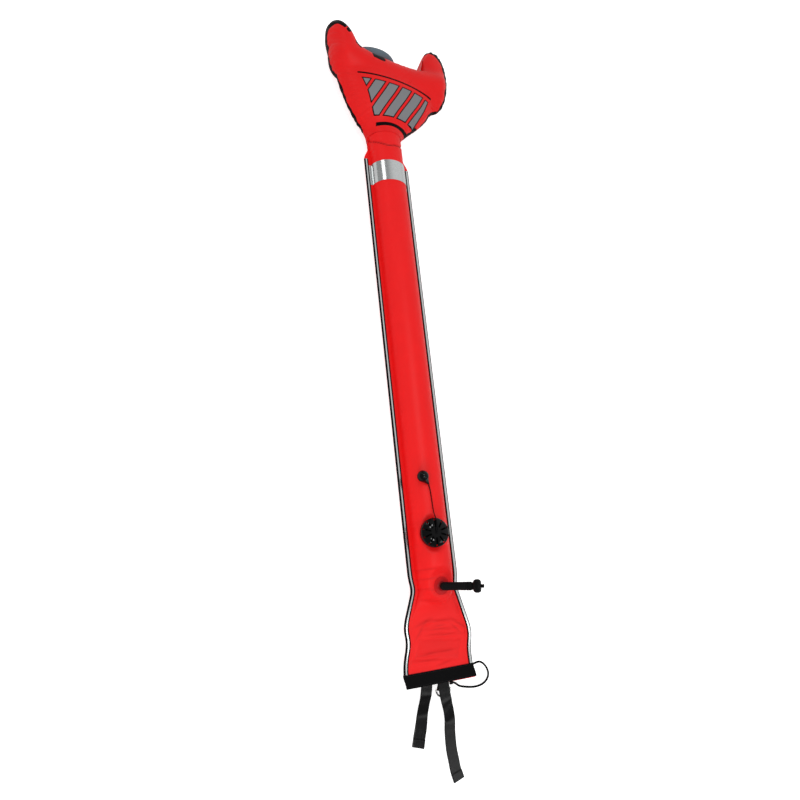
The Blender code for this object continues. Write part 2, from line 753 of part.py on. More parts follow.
def make_head(mats):
    """Front and back cloth of the head and the grey dome between its lobes."""
    angles, reach, in_mouth = head_rays()
    rings = np.sin(np.linspace(0.0, math.pi / 2, 8))[:, None]
    for name, side in (("head_front_panel", 1), ("head_back_panel", -1)):
        grids = []
        for inset in (0.0, CLOTH):
            height = head_height(*head_point(angles, rings * reach))
            height[-1, ~in_mouth] = 0.0
            height[-1, [0, in_mouth.sum() - 1]] = 0.0
            u, v = head_point(angles, rings * (reach - inset * ~in_mouth))
            height = np.maximum(np.minimum(height, head_height(u, v)) - inset, 0.0)
            grid = head_place(u, v, side * (TOUCH_GAP / 2 + height))
            grid[..., 2] = np.maximum(grid[..., 2], inset)
            grids.append(grid)
        dome_wall(name, grids[0], grids[1], mats["cloth"])


def make_crown_dome(mats):
    """Grey cloth dome that swells out over the seam between the lobes."""
    across = np.linspace(-1.0, 1.0, 13)
    climb = np.linspace(0.2, 0.3, 401)
    swing = np.linspace(math.pi / 2, math.pi, 181)
    grids = []
    for inset in (0.0, CLOTH):
        rows = []
        for share in across:
            u = CROWN_U + share * (CROWN_HALF_WIDTH - inset)
            swell = math.sqrt(max(0.0, 1.0 - share * share))
            top = first_zero(head_field(np.full_like(climb, u), climb)[None], climb)[0]
            up = max(CROWN_HEIGHT * swell - inset, 0.0)
            deep = max(CROWN_HALF_DEPTH * swell - inset, 0.0)
            start = top + CROWN_GAP
            outside = deep * np.sin(swing) - head_height(u, start + up * np.cos(swing))
            free = outside > CROWN_GAP
            end = swing[np.argmin(free) - 1] if free[0] else math.pi / 2
            turn = np.linspace(-end, end, 13)
            rows.append(head_place(np.full_like(turn, u), start + up * np.cos(turn),
                                   deep * np.sin(turn)))
        grids.append(np.array(rows))
    wall_between("crown_dome", grids[0], grids[1], mats["grey_cloth"])


# Fittings

def arc(radius, centre_w, start, end, steps):
    """Points of a circle round a point on the axis; angles are measured up from level."""
    return [(radius * math.cos(a), centre_w + radius * math.sin(a))
            for a in np.linspace(start, end, steps)]


def make_dump_valve(mats, frame):
    """Over-pressure valve: flange, gasket, seat, poppet with its seal, spring and slotted cap."""
    flange_top = -CLOTH - TOUCH_GAP
    flange_low = flange_top - INNER_FLANGE_THICKNESS
    turned("dump_valve_flange", [
        (SPIGOT_BORE, flange_low), (INNER_FLANGE_RADIUS, flange_low),
        (INNER_FLANGE_RADIUS, flange_top), (SPIGOT_RADIUS, flange_top),
        (SPIGOT_RADIUS, SPIGOT_HEIGHT), (SPIGOT_BORE, SPIGOT_HEIGHT)],
        mats["fitting"], parent=frame)
    gasket_top = TOUCH_GAP + GASKET_THICKNESS
    thread = SPIGOT_RADIUS + TOUCH_GAP
    turned("dump_valve_gasket", [
        (thread, TOUCH_GAP), (GASKET_RADIUS, TOUCH_GAP),
        (GASKET_RADIUS, gasket_top), (thread, gasket_top)], mats["rubber"], parent=frame)

    low = gasket_top + TOUCH_GAP
    web_low = SPIGOT_HEIGHT + TOUCH_GAP
    web_top = web_low + SEAT_WEB
    lip_top = web_top + SEAT_LIP_HEIGHT
    cavity = VALVE_BODY_RADIUS - VALVE_WALL
    turned("dump_valve_body", [
        (thread, low), (VALVE_BODY_RADIUS, low), (VALVE_BODY_RADIUS, low + VALVE_BODY_HEIGHT),
        (cavity, low + VALVE_BODY_HEIGHT), (cavity, web_top), (SEAT_BORE + SEAT_LIP_WIDTH, web_top),
        (SEAT_BORE + SEAT_LIP_WIDTH, lip_top), (SEAT_BORE, lip_top), (SEAT_BORE, web_low),
        (thread, web_low)], mats["fitting"], parent=frame)

    seal_low = lip_top + TOUCH_GAP
    plate_low = seal_low + POPPET_SEAL + TOUCH_GAP
    plate_top = plate_low + POPPET_PLATE
    turned("dump_valve_seal", [
        (POPPET_PIN_RADIUS + TOUCH_GAP, seal_low), (POPPET_RADIUS, seal_low),
        (POPPET_RADIUS, seal_low + POPPET_SEAL), (POPPET_PIN_RADIUS + TOUCH_GAP, seal_low + POPPET_SEAL)],
        mats["rubber"], parent=frame)
    stem_top = CAP_HEIGHT + TOUCH_GAP
    turned("dump_valve_poppet", [
        (0.0, seal_low - POPPET_SEAL), (POPPET_PIN_RADIUS, seal_low - POPPET_SEAL),
        (POPPET_PIN_RADIUS, plate_low), (POPPET_RADIUS, plate_low), (POPPET_RADIUS, plate_top),
        (POPPET_STEM_RADIUS, plate_top), (POPPET_STEM_RADIUS, stem_top), (0.0, stem_top)],
        mats["fitting"], parent=frame)

    roof = CAP_HEIGHT - CAP_WALL
    coil_spring("dump_valve_spring", VALVE_SPRING_RADIUS, VALVE_SPRING_WIRE, VALVE_SPRING_TURNS,
                plate_top + TOUCH_GAP, roof - TOUCH_GAP, mats["steel"], frame)

    rise = CAP_HEIGHT - CAP_SHOULDER_W

    def dome(wall, alpha):
        return (CAP_FLAT + (CAP_RADIUS - CAP_FLAT - wall) * math.cos(alpha),
                CAP_SHOULDER_W + (rise - wall) * math.sin(alpha))

    def dome_angle(radius):
        return math.acos((radius - CAP_FLAT) / (CAP_RADIUS - CAP_FLAT - CAP_WALL))

    skirt = VALVE_BODY_RADIUS + CAP_CLEARANCE
    skirt_low = gasket_top + 2 * CAP_CLEARANCE
    inner, outer = dome_angle(skirt), dome_angle(skirt + CAP_SKIRT_WALL)
    profile = [(CAP_HOLE, roof)]
    profile += [dome(CAP_WALL, a) for a in np.linspace(math.pi / 2, inner, 4)]
    profile += [(skirt, skirt_low), (skirt + CAP_SKIRT_WALL, skirt_low)]
    profile += [dome(CAP_WALL, a) for a in (outer, 0.0)]
    profile += [(CAP_RADIUS - CAP_WALL, CAP_RIM_W), (CAP_RADIUS, CAP_RIM_W)]
    profile += [dome(0.0, a) for a in np.linspace(0.0, math.pi / 2, 7)]
    profile += [(CAP_HOLE, CAP_HEIGHT)]
    cap = turned("dump_valve_cap", profile, mats["gloss"], parent=frame)
    cut(cap, slot_cutter(frame))


def slot_cutter(frame):
    """Radial bars that open the cap's air slots."""
    bm = bmesh.new()
    low, high = CAP_SHOULDER_W - TOUCH_GAP, CAP_HEIGHT + CAP_WALL
    near, far = CAP_SLOT_INNER, CAP_RADIUS - CAP_WALL - TOUCH_GAP
    for k in range(CAP_SLOTS):
        size = Matrix.Diagonal((far - near, CAP_SLOT_WIDTH, high - low, 1.0))
        place = Matrix.Translation(((near + far) / 2, 0.0, (low + high) / 2))
        turn = Matrix.Rotation(math.tau * (k + 0.5) / CAP_SLOTS, 4, "Z")
        bmesh.ops.create_cube(bm, size=1.0, matrix=turn @ place @ size)
    mesh = bpy.data.meshes.new("cap_slots")
    bm.to_mesh(mesh)
    bm.free()
    cutter = bpy.data.objects.new("cap_slots", mesh)
    bpy.context.collection.objects.link(cutter)
    cutter.parent = frame
    hide(cutter)
    return cutter


def hose_centre_w():
    """Height of the hose's pivot above the cloth: its round foot stands in the flange's dish."""
    return INFLATOR_FLANGE_THICKNESS + HOSE_RADIUS + HOSE_CLEARANCE


def make_inflator(mats, frame, hose_frame):
    """Oral inflator: welded flange, leaning hose, spring-loaded mouthpiece and lock ring."""
    flange_top = TOUCH_GAP + INFLATOR_FLANGE_THICKNESS
    centre = hose_centre_w()
    dish = HOSE_RADIUS + HOSE_CLEARANCE
    bottom = -math.acos(NIPPLE_BORE / dish)
    rim = arc(dish, centre, -SOCKET_ANGLE, bottom, 4)
    rim_r, rim_w = rim[0]
    turned("inflator_flange", [
        (NIPPLE_BORE, -NIPPLE_DEPTH), (NIPPLE_RADIUS, -NIPPLE_DEPTH), (NIPPLE_RADIUS, TOUCH_GAP),
        (INFLATOR_FLANGE_RADIUS, TOUCH_GAP),
        (INFLATOR_FLANGE_RADIUS, flange_top - INFLATOR_FLANGE_THICKNESS / 2),
        (rim_r * 1.9, flange_top), (rim_r * 1.2, rim_w)] + rim, mats["clear_red"], parent=frame)
    ring_top = -CLOTH - TOUCH_GAP
    ring_low = ring_top - INFLATOR_FLANGE_THICKNESS
    turned("inflator_backing_ring", [
        (NIPPLE_RADIUS + TOUCH_GAP, ring_low), (BACKING_RADIUS, ring_low),
        (BACKING_RADIUS, ring_top), (NIPPLE_RADIUS + TOUCH_GAP, ring_top)],
        mats["fitting"], sides=SMALL_SIDES, parent=frame)

    foot = arc(HOSE_RADIUS, 0.0, -math.acos(NIPPLE_BORE / HOSE_RADIUS), 0.0, 5)
    turned("inflator_hose", foot + [
        (HOSE_RADIUS, HOSE_LENGTH), (HOSE_BORE, HOSE_LENGTH), (HOSE_BORE, HOSE_BORE / 2),
        (NIPPLE_BORE, 0.0)], mats["rubber"], sides=SMALL_SIDES, parent=hose_frame)

    shoulder_low = HOSE_LENGTH + TOUCH_GAP
    floor = VALVE_NECK_TOP - CHAMBER_DEPTH
    spigot_low = HOSE_LENGTH * SPIGOT_SHARE
    turned("inflator_valve_body", [
        (STEM_RADIUS, spigot_low), (HOSE_BORE - TOUCH_GAP, spigot_low),
        (HOSE_BORE - TOUCH_GAP, shoulder_low), (HOSE_RADIUS + TOUCH_GAP, shoulder_low),
        (HOSE_RADIUS + TOUCH_GAP, VALVE_SHOULDER_TOP), (VALVE_NECK_RADIUS, VALVE_SHOULDER_TOP),
        (VALVE_NECK_RADIUS, VALVE_NECK_TOP), (CHAMBER_RADIUS, VALVE_NECK_TOP),
        (CHAMBER_RADIUS, floor), (STEM_RADIUS, floor)],
        mats["fitting"], sides=SMALL_SIDES, parent=hose_frame)
    hole = STEM_RADIUS + TOUCH_GAP
    retainer_low = VALVE_NECK_TOP - RETAINER_THICKNESS
    turned("inflator_retainer", [
        (hole, retainer_low), (CHAMBER_RADIUS - TOUCH_GAP, retainer_low),
        (CHAMBER_RADIUS - TOUCH_GAP, VALVE_NECK_TOP), (hole, VALVE_NECK_TOP)],
        mats["fitting"], sides=SMALL_SIDES, parent=hose_frame)
    disc_top = retainer_low - TOUCH_GAP
    disc_low = disc_top - CHECK_DISC_THICKNESS
    turned("inflator_check_disc", [
        (hole, disc_low), (STEM_FLANGE_RADIUS, disc_low), (STEM_FLANGE_RADIUS, disc_top),
        (hole, disc_top)], mats["rubber"], sides=SMALL_SIDES, parent=hose_frame)
    flange_high = disc_low - TOUCH_GAP
    flange_low = flange_high - STEM_FLANGE_THICKNESS
    coil_spring("inflator_spring", INFLATOR_SPRING_RADIUS, INFLATOR_SPRING_WIRE,
                INFLATOR_SPRING_TURNS, floor + TOUCH_GAP, flange_low - TOUCH_GAP, mats["steel"],
                hose_frame)

    ring_low = VALVE_NECK_TOP + CAP_CLEARANCE
    ring_top = ring_low + LOCK_RING_LENGTH
    collar = ring_top + HOSE_CLEARANCE
    turned("inflator_mouthpiece", [
        (STEM_BORE, flange_low), (STEM_FLANGE_RADIUS, flange_low),
        (STEM_FLANGE_RADIUS, flange_high), (STEM_RADIUS, flange_high), (STEM_RADIUS, collar),
        (STEM_RADIUS * BEAD_SWELL, collar + CHECK_DISC_THICKNESS), (STEM_RADIUS, collar + BEAD_PITCH),
        (STEM_RADIUS * BEAD_SWELL, MOUTHPIECE_TIP - CHECK_DISC_THICKNESS),
        (STEM_RADIUS * 0.8, MOUTHPIECE_TIP), (STEM_BORE, MOUTHPIECE_TIP)],
        mats["fitting"], sides=SMALL_SIDES, parent=hose_frame)
    bore = STEM_RADIUS + HOSE_CLEARANCE
    skirt = VALVE_NECK_RADIUS + HOSE_CLEARANCE
    skirt_top = ring_low + MOUTHPIECE_TRAVEL + CAP_CLEARANCE
    round_off = LOCK_RING_LENGTH * LOCK_RING_ROUNDING
    middle = (ring_low + ring_top) / 2
    reach = LOCK_RING_LENGTH / 2 - round_off
    corner = [(math.cos(a), math.sin(a)) for a in np.linspace(0.0, math.pi / 2, 4)]
    outer = [(LOCK_RING_RADIUS - round_off * (1 - c), middle + reach + round_off * h)
             for c, h in corner]
    under = [(radius, 2 * middle - height) for radius, height in reversed(outer)]
    turned("inflator_lock_ring", [(skirt, ring_low)] + under + outer + [
        (bore, ring_top), (bore, skirt_top), (skirt, skirt_top)],
        mats["fitting"], sides=2 * LOCK_RING_FLUTES,
        flutes=(LOCK_RING_RADIUS - round_off / 4, round_off / 10), parent=hose_frame)


# Webbing, ring and cords at the hem

def ribbon(name, route, reach, start_y, hinge, mat):
    """Lay a strap of webbing along a route of (x, z) points, with its end folded over."""
    stations = np.linspace(start_y, start_y - reach, len(route))
    centres = smooth_route([(x, y, z) for (x, z), y in zip(route, stations)], 0.0075)
    lengths = np.concatenate([[0.0], np.cumsum(np.linalg.norm(np.diff(centres, axis=0), axis=1))])
    fold = lengths[-1] - STRAP_FOLD_LENGTH
    marks = np.sort(np.concatenate([lengths, [fold, fold + STRAP_THICKNESS / 3]]))
    points = np.stack([np.interp(marks, lengths, centres[:, k]) for k in range(3)], axis=1)
    tangent = np.gradient(points, marks, axis=0)
    tangent /= np.linalg.norm(tangent, axis=1)[:, None]
    tangent[0] = (0.0, -1.0, 0.0)
    side = np.cross(tangent, [0.0, 0.0, 1.0])
    side /= np.linalg.norm(side, axis=1)[:, None]
    up = np.cross(side, tangent)
    half = STRAP_WIDTH / 2
    top = STRAP_THICKNESS / 2 + np.where(marks > fold + TOUCH_GAP, STRAP_THICKNESS, 0.0)[:, None]
    low = -STRAP_THICKNESS / 2
    corners = [points - half * side + low * up, points + half * side + low * up,
               points + half * side + top * up, points - half * side + top * up]
    sections = np.stack(corners, axis=1)
    sections[..., 2] = np.maximum(sections[..., 2], 0.0)
    return lofted(name, sections - np.array(hinge), mat, location=hinge)


def make_straps(mats):
    """Short and long strap, each hinged where it leaves the hem."""
    start = HEM_Y - 2 * TOUCH_GAP
    for name, route, reach in (("short_strap", SHORT_STRAP_ROUTE, SHORT_STRAP_REACH),
                               ("long_strap", LONG_STRAP_ROUTE, LONG_STRAP_REACH)):
        hinge = (route[0][0], start - STRAP_HINGE_INSET, route[0][1])
        ribbon(name, route, reach, start, hinge, mats["webbing"])


def make_d_ring(mats):
    """Bent wire ring and the folded webbing tab that holds its straight bar."""
    bar = D_RING_RADIUS - D_RING_CORNER
    corner = np.linspace(math.pi / 2, 0.0, 4)
    bow = np.linspace(0.0, -math.pi, 15)[1:-1]
    right = [(bar + D_RING_CORNER * math.cos(a), D_RING_CORNER * (math.sin(a) - 1)) for a in corner]
    curve = [(D_RING_RADIUS * math.cos(a), -D_RING_CORNER + bar * math.sin(a)) for a in bow]
    left = [(-x, y) for x, y in reversed(right)]
    outline = right + curve + left
    ring = tube_along("d_ring", [(x, y, 0.0) for x, y in outline], D_RING_WIRE_RADIUS,
                      mats["steel"], cyclic=True)
    ring.location = (D_RING_X, D_RING_Y, D_RING_Z)

    bore = D_RING_WIRE_RADIUS + TOUCH_GAP
    eye = bore + TAB_WALL
    band_z = HEM_MID_Z - MOUTH_HALF_GAP - CLOTH - HEM_THICKNESS / 2 - 1.5 * TOUCH_GAP
    root = Vector((HEM_Y - TOUCH_GAP - D_RING_Y, band_z - D_RING_Z))
    lead = math.atan2(root.y, root.x)
    around = np.linspace(lead + math.radians(62), lead + math.radians(298), 13)
    outline = [(root.x, root.y + TAB_WALL)]
    outline += [(eye * math.cos(a), eye * math.sin(a)) for a in around]
    outline += [(root.x, root.y - TAB_WALL)]
    sections = np.array([[(x, D_RING_Y + y, D_RING_Z + z) for y, z in outline]
                         for x in (D_RING_X - TAB_HALF_WIDTH, D_RING_X + TAB_HALF_WIDTH)])
    tab = lofted("d_ring_tab", sections, mats["webbing"])
    bar_frame = frame_empty("d_ring_bar", (D_RING_X, D_RING_Y, D_RING_Z), (1, 0, 0), (0, 1, 0))
    cut(tab, rod_cutter("bar_hole", bore, -D_RING_RADIUS, D_RING_RADIUS, bar_frame))


def make_pull_cord(mats, frame):
    """Cord from the poppet's stem over the cap to the teardrop knob."""
    to_local = frame.matrix_world.inverted()
    stem = Vector((0.0, 0.0, CAP_HEIGHT + 2 * TOUCH_GAP))
    tip = KNOB_LENGTH - KNOB_RADIUS
    end = KNOB_CENTRE + KNOB_TIP_DIRECTION * (tip + TOUCH_GAP)
    lead = KNOB_CENTRE + KNOB_TIP_DIRECTION * (tip + 3 * CORD_RADIUS)
    route = [stem, stem + Vector((0.0, 0.0, 3 * CORD_RADIUS))]
    route += [to_local @ Vector(p) for p in PULL_CORD_ROUTE + [lead, end]]
    tube_along("pull_cord", smooth_route(route, 5 * CORD_RADIUS), CORD_RADIUS, mats["cord"],
               parent=frame)

    tangent = math.asin(KNOB_RADIUS / tip) * 0.92
    ball = arc(KNOB_RADIUS, 0.0, -math.pi / 2, tangent, 9)
    neck = 1.8 * CORD_RADIUS
    profile = ball + [(neck * 2.2, tip * 0.80), (neck, tip), (0.0, tip)]
    knob = turned("pull_knob", profile, mats["gloss"], sides=SMALL_SIDES, parent=frame)
    world = frame_matrix(KNOB_CENTRE, KNOB_TIP_DIRECTION, (1, 0, 0))
    knob.matrix_local = to_local @ world


def make_bungee(mats):
    """Elastic loop from the hem's right end back to a ferrule at its lower edge."""
    edge = sway(BUNGEE_LEAVE_Y) + edge_x(BUNGEE_LEAVE_Y, 1)
    start = (edge + HEM_OVERHANG + 3 * TOUCH_GAP, BUNGEE_LEAVE_Y, HEM_MID_Z)
    side_y = HEM_Y - FERRULE_RADIUS - TOUCH_GAP
    end, entry, lead = [(FERRULE_X + FERRULE_LENGTH * k + TOUCH_GAP, side_y, HEM_MID_Z)
                        for k in (0.0, 1.2, 2.0)]
    points = smooth_route([start] + BUNGEE_ROUTE + [lead, entry], 5 * BUNGEE_RADIUS)
    tube_along("bungee_loop", np.concatenate([points, [end]]), BUNGEE_RADIUS, mats["cord"])
    bore = BUNGEE_RADIUS + TOUCH_GAP
    frame = frame_empty("ferrule_axis", (FERRULE_X, side_y, HEM_MID_Z), (1, 0, 0), (0, 1, 0))
    turned("bungee_ferrule", [
        (bore, 0.0), (FERRULE_RADIUS, 0.0), (FERRULE_RADIUS, FERRULE_LENGTH),
        (bore, FERRULE_LENGTH)], mats["fitting"], sides=12, parent=frame)


def make_materials():
    """Plain finishes in the photographed colours."""
    return {
        "cloth": material("Coated nylon, red", (0.84, 0.025, 0.028), 0.42),
        "grey_cloth": material("Coated nylon, slate", (0.10, 0.14, 0.17), 0.45),
        "baffle": material("Coated nylon, inner", (0.70, 0.03, 0.03), 0.5),
        "webbing": material("Polyester webbing, black", (0.012, 0.012, 0.013), 0.75),
        "reflective": material("Glass bead tape, silver", (0.48, 0.49, 0.50), 0.4, 0.2),
        "fitting": material("Moulded polyamide, black", (0.015, 0.015, 0.016), 0.4),
        "gloss": material("Moulded acetal, black", (0.010, 0.010, 0.011), 0.15),
        "rubber": material("Rubber, black", (0.014, 0.014, 0.014), 0.6),
        "clear_red": material("Clear polyurethane, red", (0.40, 0.01, 0.012), 0.25, alpha=0.9),
        "steel": material("Stainless steel", (0.55, 0.55, 0.54), 0.25, 1.0),
        "cord": material("Braided cord, black", (0.013, 0.013, 0.013), 0.8),
    }


def build():
    """Make every piece of the buoy."""
    clear_scene()
    mats = make_materials()
    (valve_origin, valve_normal), (inflator_origin, inflator_normal) = fitting_seats()
    valve_frame = frame_empty("valve_axis", valve_origin, valve_normal, (1, 0, 0))
    inflator_frame = frame_empty("inflator_axis", inflator_origin, inflator_normal, (1, 0, 0))
    hose_origin = inflator_origin + inflator_normal * hose_centre_w()
    hose_direction = inflator_normal * math.cos(HOSE_LEAN) + Vector((1, 0, 0)) * math.sin(HOSE_LEAN)
    hose_frame = frame_empty("hose_axis", hose_origin, hose_direction, (0, 1, 0))
    make_tube_panels(mats, valve_frame, inflator_frame)
    make_trim(mats)
    make_baffles(mats)
    make_head(mats)
    make_crown_dome(mats)
    make_dump_valve(mats, valve_frame)
    make_inflator(mats, inflator_frame, hose_frame)
    make_straps(mats)
    make_d_ring(mats)
    make_pull_cord(mats, valve_frame)
    make_bungee(mats)


build()
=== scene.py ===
"""Looks of an inflated surface marker buoy that lies on its back.

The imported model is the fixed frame: metres, +Z up, +Y along the tube towards the head and +X
to the right of the front. Cloth, webbing and cords are modelled here over the places that the
frame gives them, and the moulded pieces are turned again, finer, round the same axes.
"""
import logging
import math
from dataclasses import dataclass
from enum import Enum
from typing import Callable, NamedTuple, Optional, Sequence

import bmesh
import bpy
import numpy as np
from mathutils import Matrix, Vector


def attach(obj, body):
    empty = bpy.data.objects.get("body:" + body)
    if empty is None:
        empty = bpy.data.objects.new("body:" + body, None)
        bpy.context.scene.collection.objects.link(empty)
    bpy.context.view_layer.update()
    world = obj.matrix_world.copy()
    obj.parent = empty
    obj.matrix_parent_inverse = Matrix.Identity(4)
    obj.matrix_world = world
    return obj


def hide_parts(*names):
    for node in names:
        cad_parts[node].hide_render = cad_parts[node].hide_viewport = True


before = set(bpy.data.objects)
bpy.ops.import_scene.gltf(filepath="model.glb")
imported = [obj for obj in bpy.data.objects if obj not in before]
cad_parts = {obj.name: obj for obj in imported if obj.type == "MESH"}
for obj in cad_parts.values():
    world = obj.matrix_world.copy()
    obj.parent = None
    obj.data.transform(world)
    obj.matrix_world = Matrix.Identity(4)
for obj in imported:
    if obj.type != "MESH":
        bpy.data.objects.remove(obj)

LOG = logging.getLogger("buoy")
Array = np.ndarray
Material = bpy.types.Material
Node = bpy.types.Node
Socket = bpy.types.NodeSocket
Tree = bpy.types.NodeTree
UV_NAME = "Pattern"
MARK_NAME = "mark"
GAP = 0.0003


class Body(Enum):
    """Bodies of the frame that pieces ride on."""

    BUOY = "buoy"
    POPPET = "poppet"
    INFLATOR = "inflator"
    MOUTHPIECE = "mouthpiece"
    LOCK_RING = "lock_ring"
    RING = "ring"
    SHORT_STRAP = "short_strap_body"
    LONG_STRAP = "long_strap_body"


class Side(Enum):
    """Which way a panel faces."""

    FRONT = 1
    BACK = -1


class Use(Enum):
    """What a lamp is for, as whether it is seen by diffuse rays and by glossy rays."""

    SOFT = (True, False)
    MIRRORED = (False, True)


# Curves and noise


def ease(t: Array) -> Array:
    """Smooth step from 0 to 1, 3t² − 2t³."""
    t = np.clip(t, 0.0, 1.0)
    return t * t * (3.0 - 2.0 * t)


def between(y: Array, start: float, end: float) -> Array:
    """Smooth step from 0 at start to 1 at end; the start may be the larger."""
    return ease((y - start) / (end - start))


def ripples(t: Array, pitch: float, seed: int, waves: int = 5) -> Array:
    """Irregular wave from 0 to 1: the mean of sines of nearby pitch and set phase.

    Args:
        t: Distance along the wave, in metres.
        pitch: Usual distance between crests, in metres.
        seed: Picks the pitches and phases.
        waves: How many sines are added.

    Returns:
        The wave at each t.
    """
    rng = np.random.default_rng(seed)
    lengths = pitch * rng.uniform(0.7, 1.5, waves)
    phases = rng.uniform(0.0, math.tau, waves)
    total = np.zeros_like(t)
    for length, phase in zip(lengths, phases):
        total = total + np.sin(math.tau * t / length + phase)
    return 0.5 + 0.5 * np.clip(1.6 * total / waves, -1.0, 1.0)


def arc_length(points: Array, axis: int = 0) -> Array:
    """Distance travelled along a grid's rows or columns, from 0.

    Args:
        points: Grid of places, or one line of them.
        axis: The grid's axis that is followed.

    Returns:
        The distances, with the shape of the grid.
    """
    steps = np.linalg.norm(np.diff(points, axis=axis), axis=-1)
    start = np.zeros_like(np.take(steps, [0], axis=axis))
    return np.concatenate([start, np.cumsum(steps, axis=axis)], axis=axis)


def stations(start: float, end: float, step: float) -> Array:
    """Even stations from start to end, about a step apart."""
    return np.linspace(start, end, round((end - start) / step) + 1)


def stacked(*coordinates: Array) -> Array:
    """Points from their coordinates, each spread over the shape of all."""
    return np.stack(np.broadcast_arrays(*coordinates), axis=-1)


def unit(vectors: Array) -> Array:
    """Vectors of length 1 in the given directions."""
    return vectors / np.linalg.norm(vectors, axis=-1, keepdims=True)


def rotated(dx: Array, dy: Array, turn: float) -> tuple:
    """Offsets along and across a direction that is turned from X."""
    return (dx * math.cos(turn) + dy * math.sin(turn),
            dy * math.cos(turn) - dx * math.sin(turn))


def sampled(points: Array, lengths: Array, marks: Array) -> Array:
    """Points of a route at the marks, which are distances along it."""
    return np.stack([np.interp(marks, lengths, points[:, k]) for k in range(3)], axis=1)


def curved(start: Array, middle: Array, end: Array, t: Array) -> Array:
    """Points of a quadratic curve that leaves and arrives towards its middle point."""
    return (1 - t) ** 2 * start + 2 * t * (1 - t) * middle + t ** 2 * end


def smooth_route(points: Sequence, step: float) -> Array:
    """Evenly spaced points of a Catmull-Rom curve through a route.

    Args:
        points: The route's own points.
        step: Distance between the points that are returned.

    Returns:
        The points, one row each.
    """
    route = np.array([tuple(p) for p in points], float)
    route = np.concatenate([[2 * route[0] - route[1]], route, [2 * route[-1] - route[-2]]])
    a, b, c, d = (route[k:len(route) - 3 + k, None] for k in range(4))
    t = np.linspace(0.0, 1.0, 24, endpoint=False)[None, :, None]
    dense = 0.5 * (2 * b + (c - a) * t + (2 * a - 5 * b + 4 * c - d) * t ** 2
                   + (3 * b - a - 3 * c + d) * t ** 3)
    dense = np.concatenate([dense.reshape(-1, 3), route[-2:-1]])
    lengths = arc_length(dense)
    marks = np.linspace(0.0, lengths[-1], max(3, round(lengths[-1] / step) + 1))
    return sampled(dense, lengths, marks)


def fillet(corners: Sequence, radius: float, steps: int = 4) -> Array:
    """Round each corner of a closed outline with a quadratic arc.

    Args:
        corners: Outline points, two numbers each.
        radius: Distance from the corner at which the arc starts, less on short sides.
        steps: Points on each arc.

    Returns:
        The rounded outline.
    """
    points = np.array(corners, float)
    before = np.roll(points, 1, axis=0) - points
    after = np.roll(points, -1, axis=0) - points
    reach_before = np.linalg.norm(before, axis=1)
    reach_after = np.linalg.norm(after, axis=1)
    cut = np.minimum(radius, 0.45 * np.minimum(reach_before, reach_after))
    start = points + before * (cut / reach_before)[:, None]
    end = points + after * (cut / reach_after)[:, None]
    t = np.linspace(0.0, 1.0, steps)[None, :, None]
    return curved(start[:, None], points[:, None], end[:, None], t).reshape(-1, 2)


def arc(radius: float, centre: float, start: float, end: float, steps: int) -> list:
    """Points of a circle round a point on the axis.

    Args:
        radius: Radius of the circle.
        centre: Height of its centre.
        start: First angle, measured up from level.
        end: Last angle.
        steps: Number of points.

    Returns:
        Their (radius, height) pairs.
    """
    angles = np.linspace(start, end, steps)
    return list(zip(radius * np.cos(angles), centre + radius * np.sin(angles)))


# Meshes


class Part(NamedTuple):
    """Arrays of one closed surface: points, four-sided faces and their pattern corners."""

    points: Array
    faces: Array
    uv: Array


def joined(parts: Sequence[Part]) -> Part:
    """One part that holds several.

    Args:
        parts: Parts with their own points, faces and uv.

    Returns:
        The one part, its faces counted on.
    """
    starts = np.cumsum([0] + [len(p.points) for p in parts[:-1]])
    return Part(np.concatenate([p.points for p in parts]),
                np.concatenate([p.faces + s for p, s in zip(parts, starts)]),
                np.concatenate([p.uv for p in parts]))


def cell_corners(r: Array, c: Array) -> tuple:
    """Rows and columns of the four corners of each cell, in order round it."""
    return np.stack([r, r, r + 1, r + 1], axis=-1), np.stack([c, c + 1, c + 1, c], axis=-1)


def surface(points: Array, uv: Array) -> Part:
    """Faces over a grid that closes on itself across its columns.

    Args:
        points: Rows by columns by 3.
        uv: As many rows and one more column, by 2.

    Returns:
        The part; rows that shrink to a point or meet another are closed by merging.
    """
    rows, columns = points.shape[:2]
    r, c = np.meshgrid(np.arange(rows - 1), np.arange(columns), indexing="ij")
    corner_r, corner_c = cell_corners(r.ravel(), c.ravel())
    faces = corner_r * columns + corner_c % columns
    return Part(points.reshape(-1, 3), faces, uv[corner_r, corner_c])


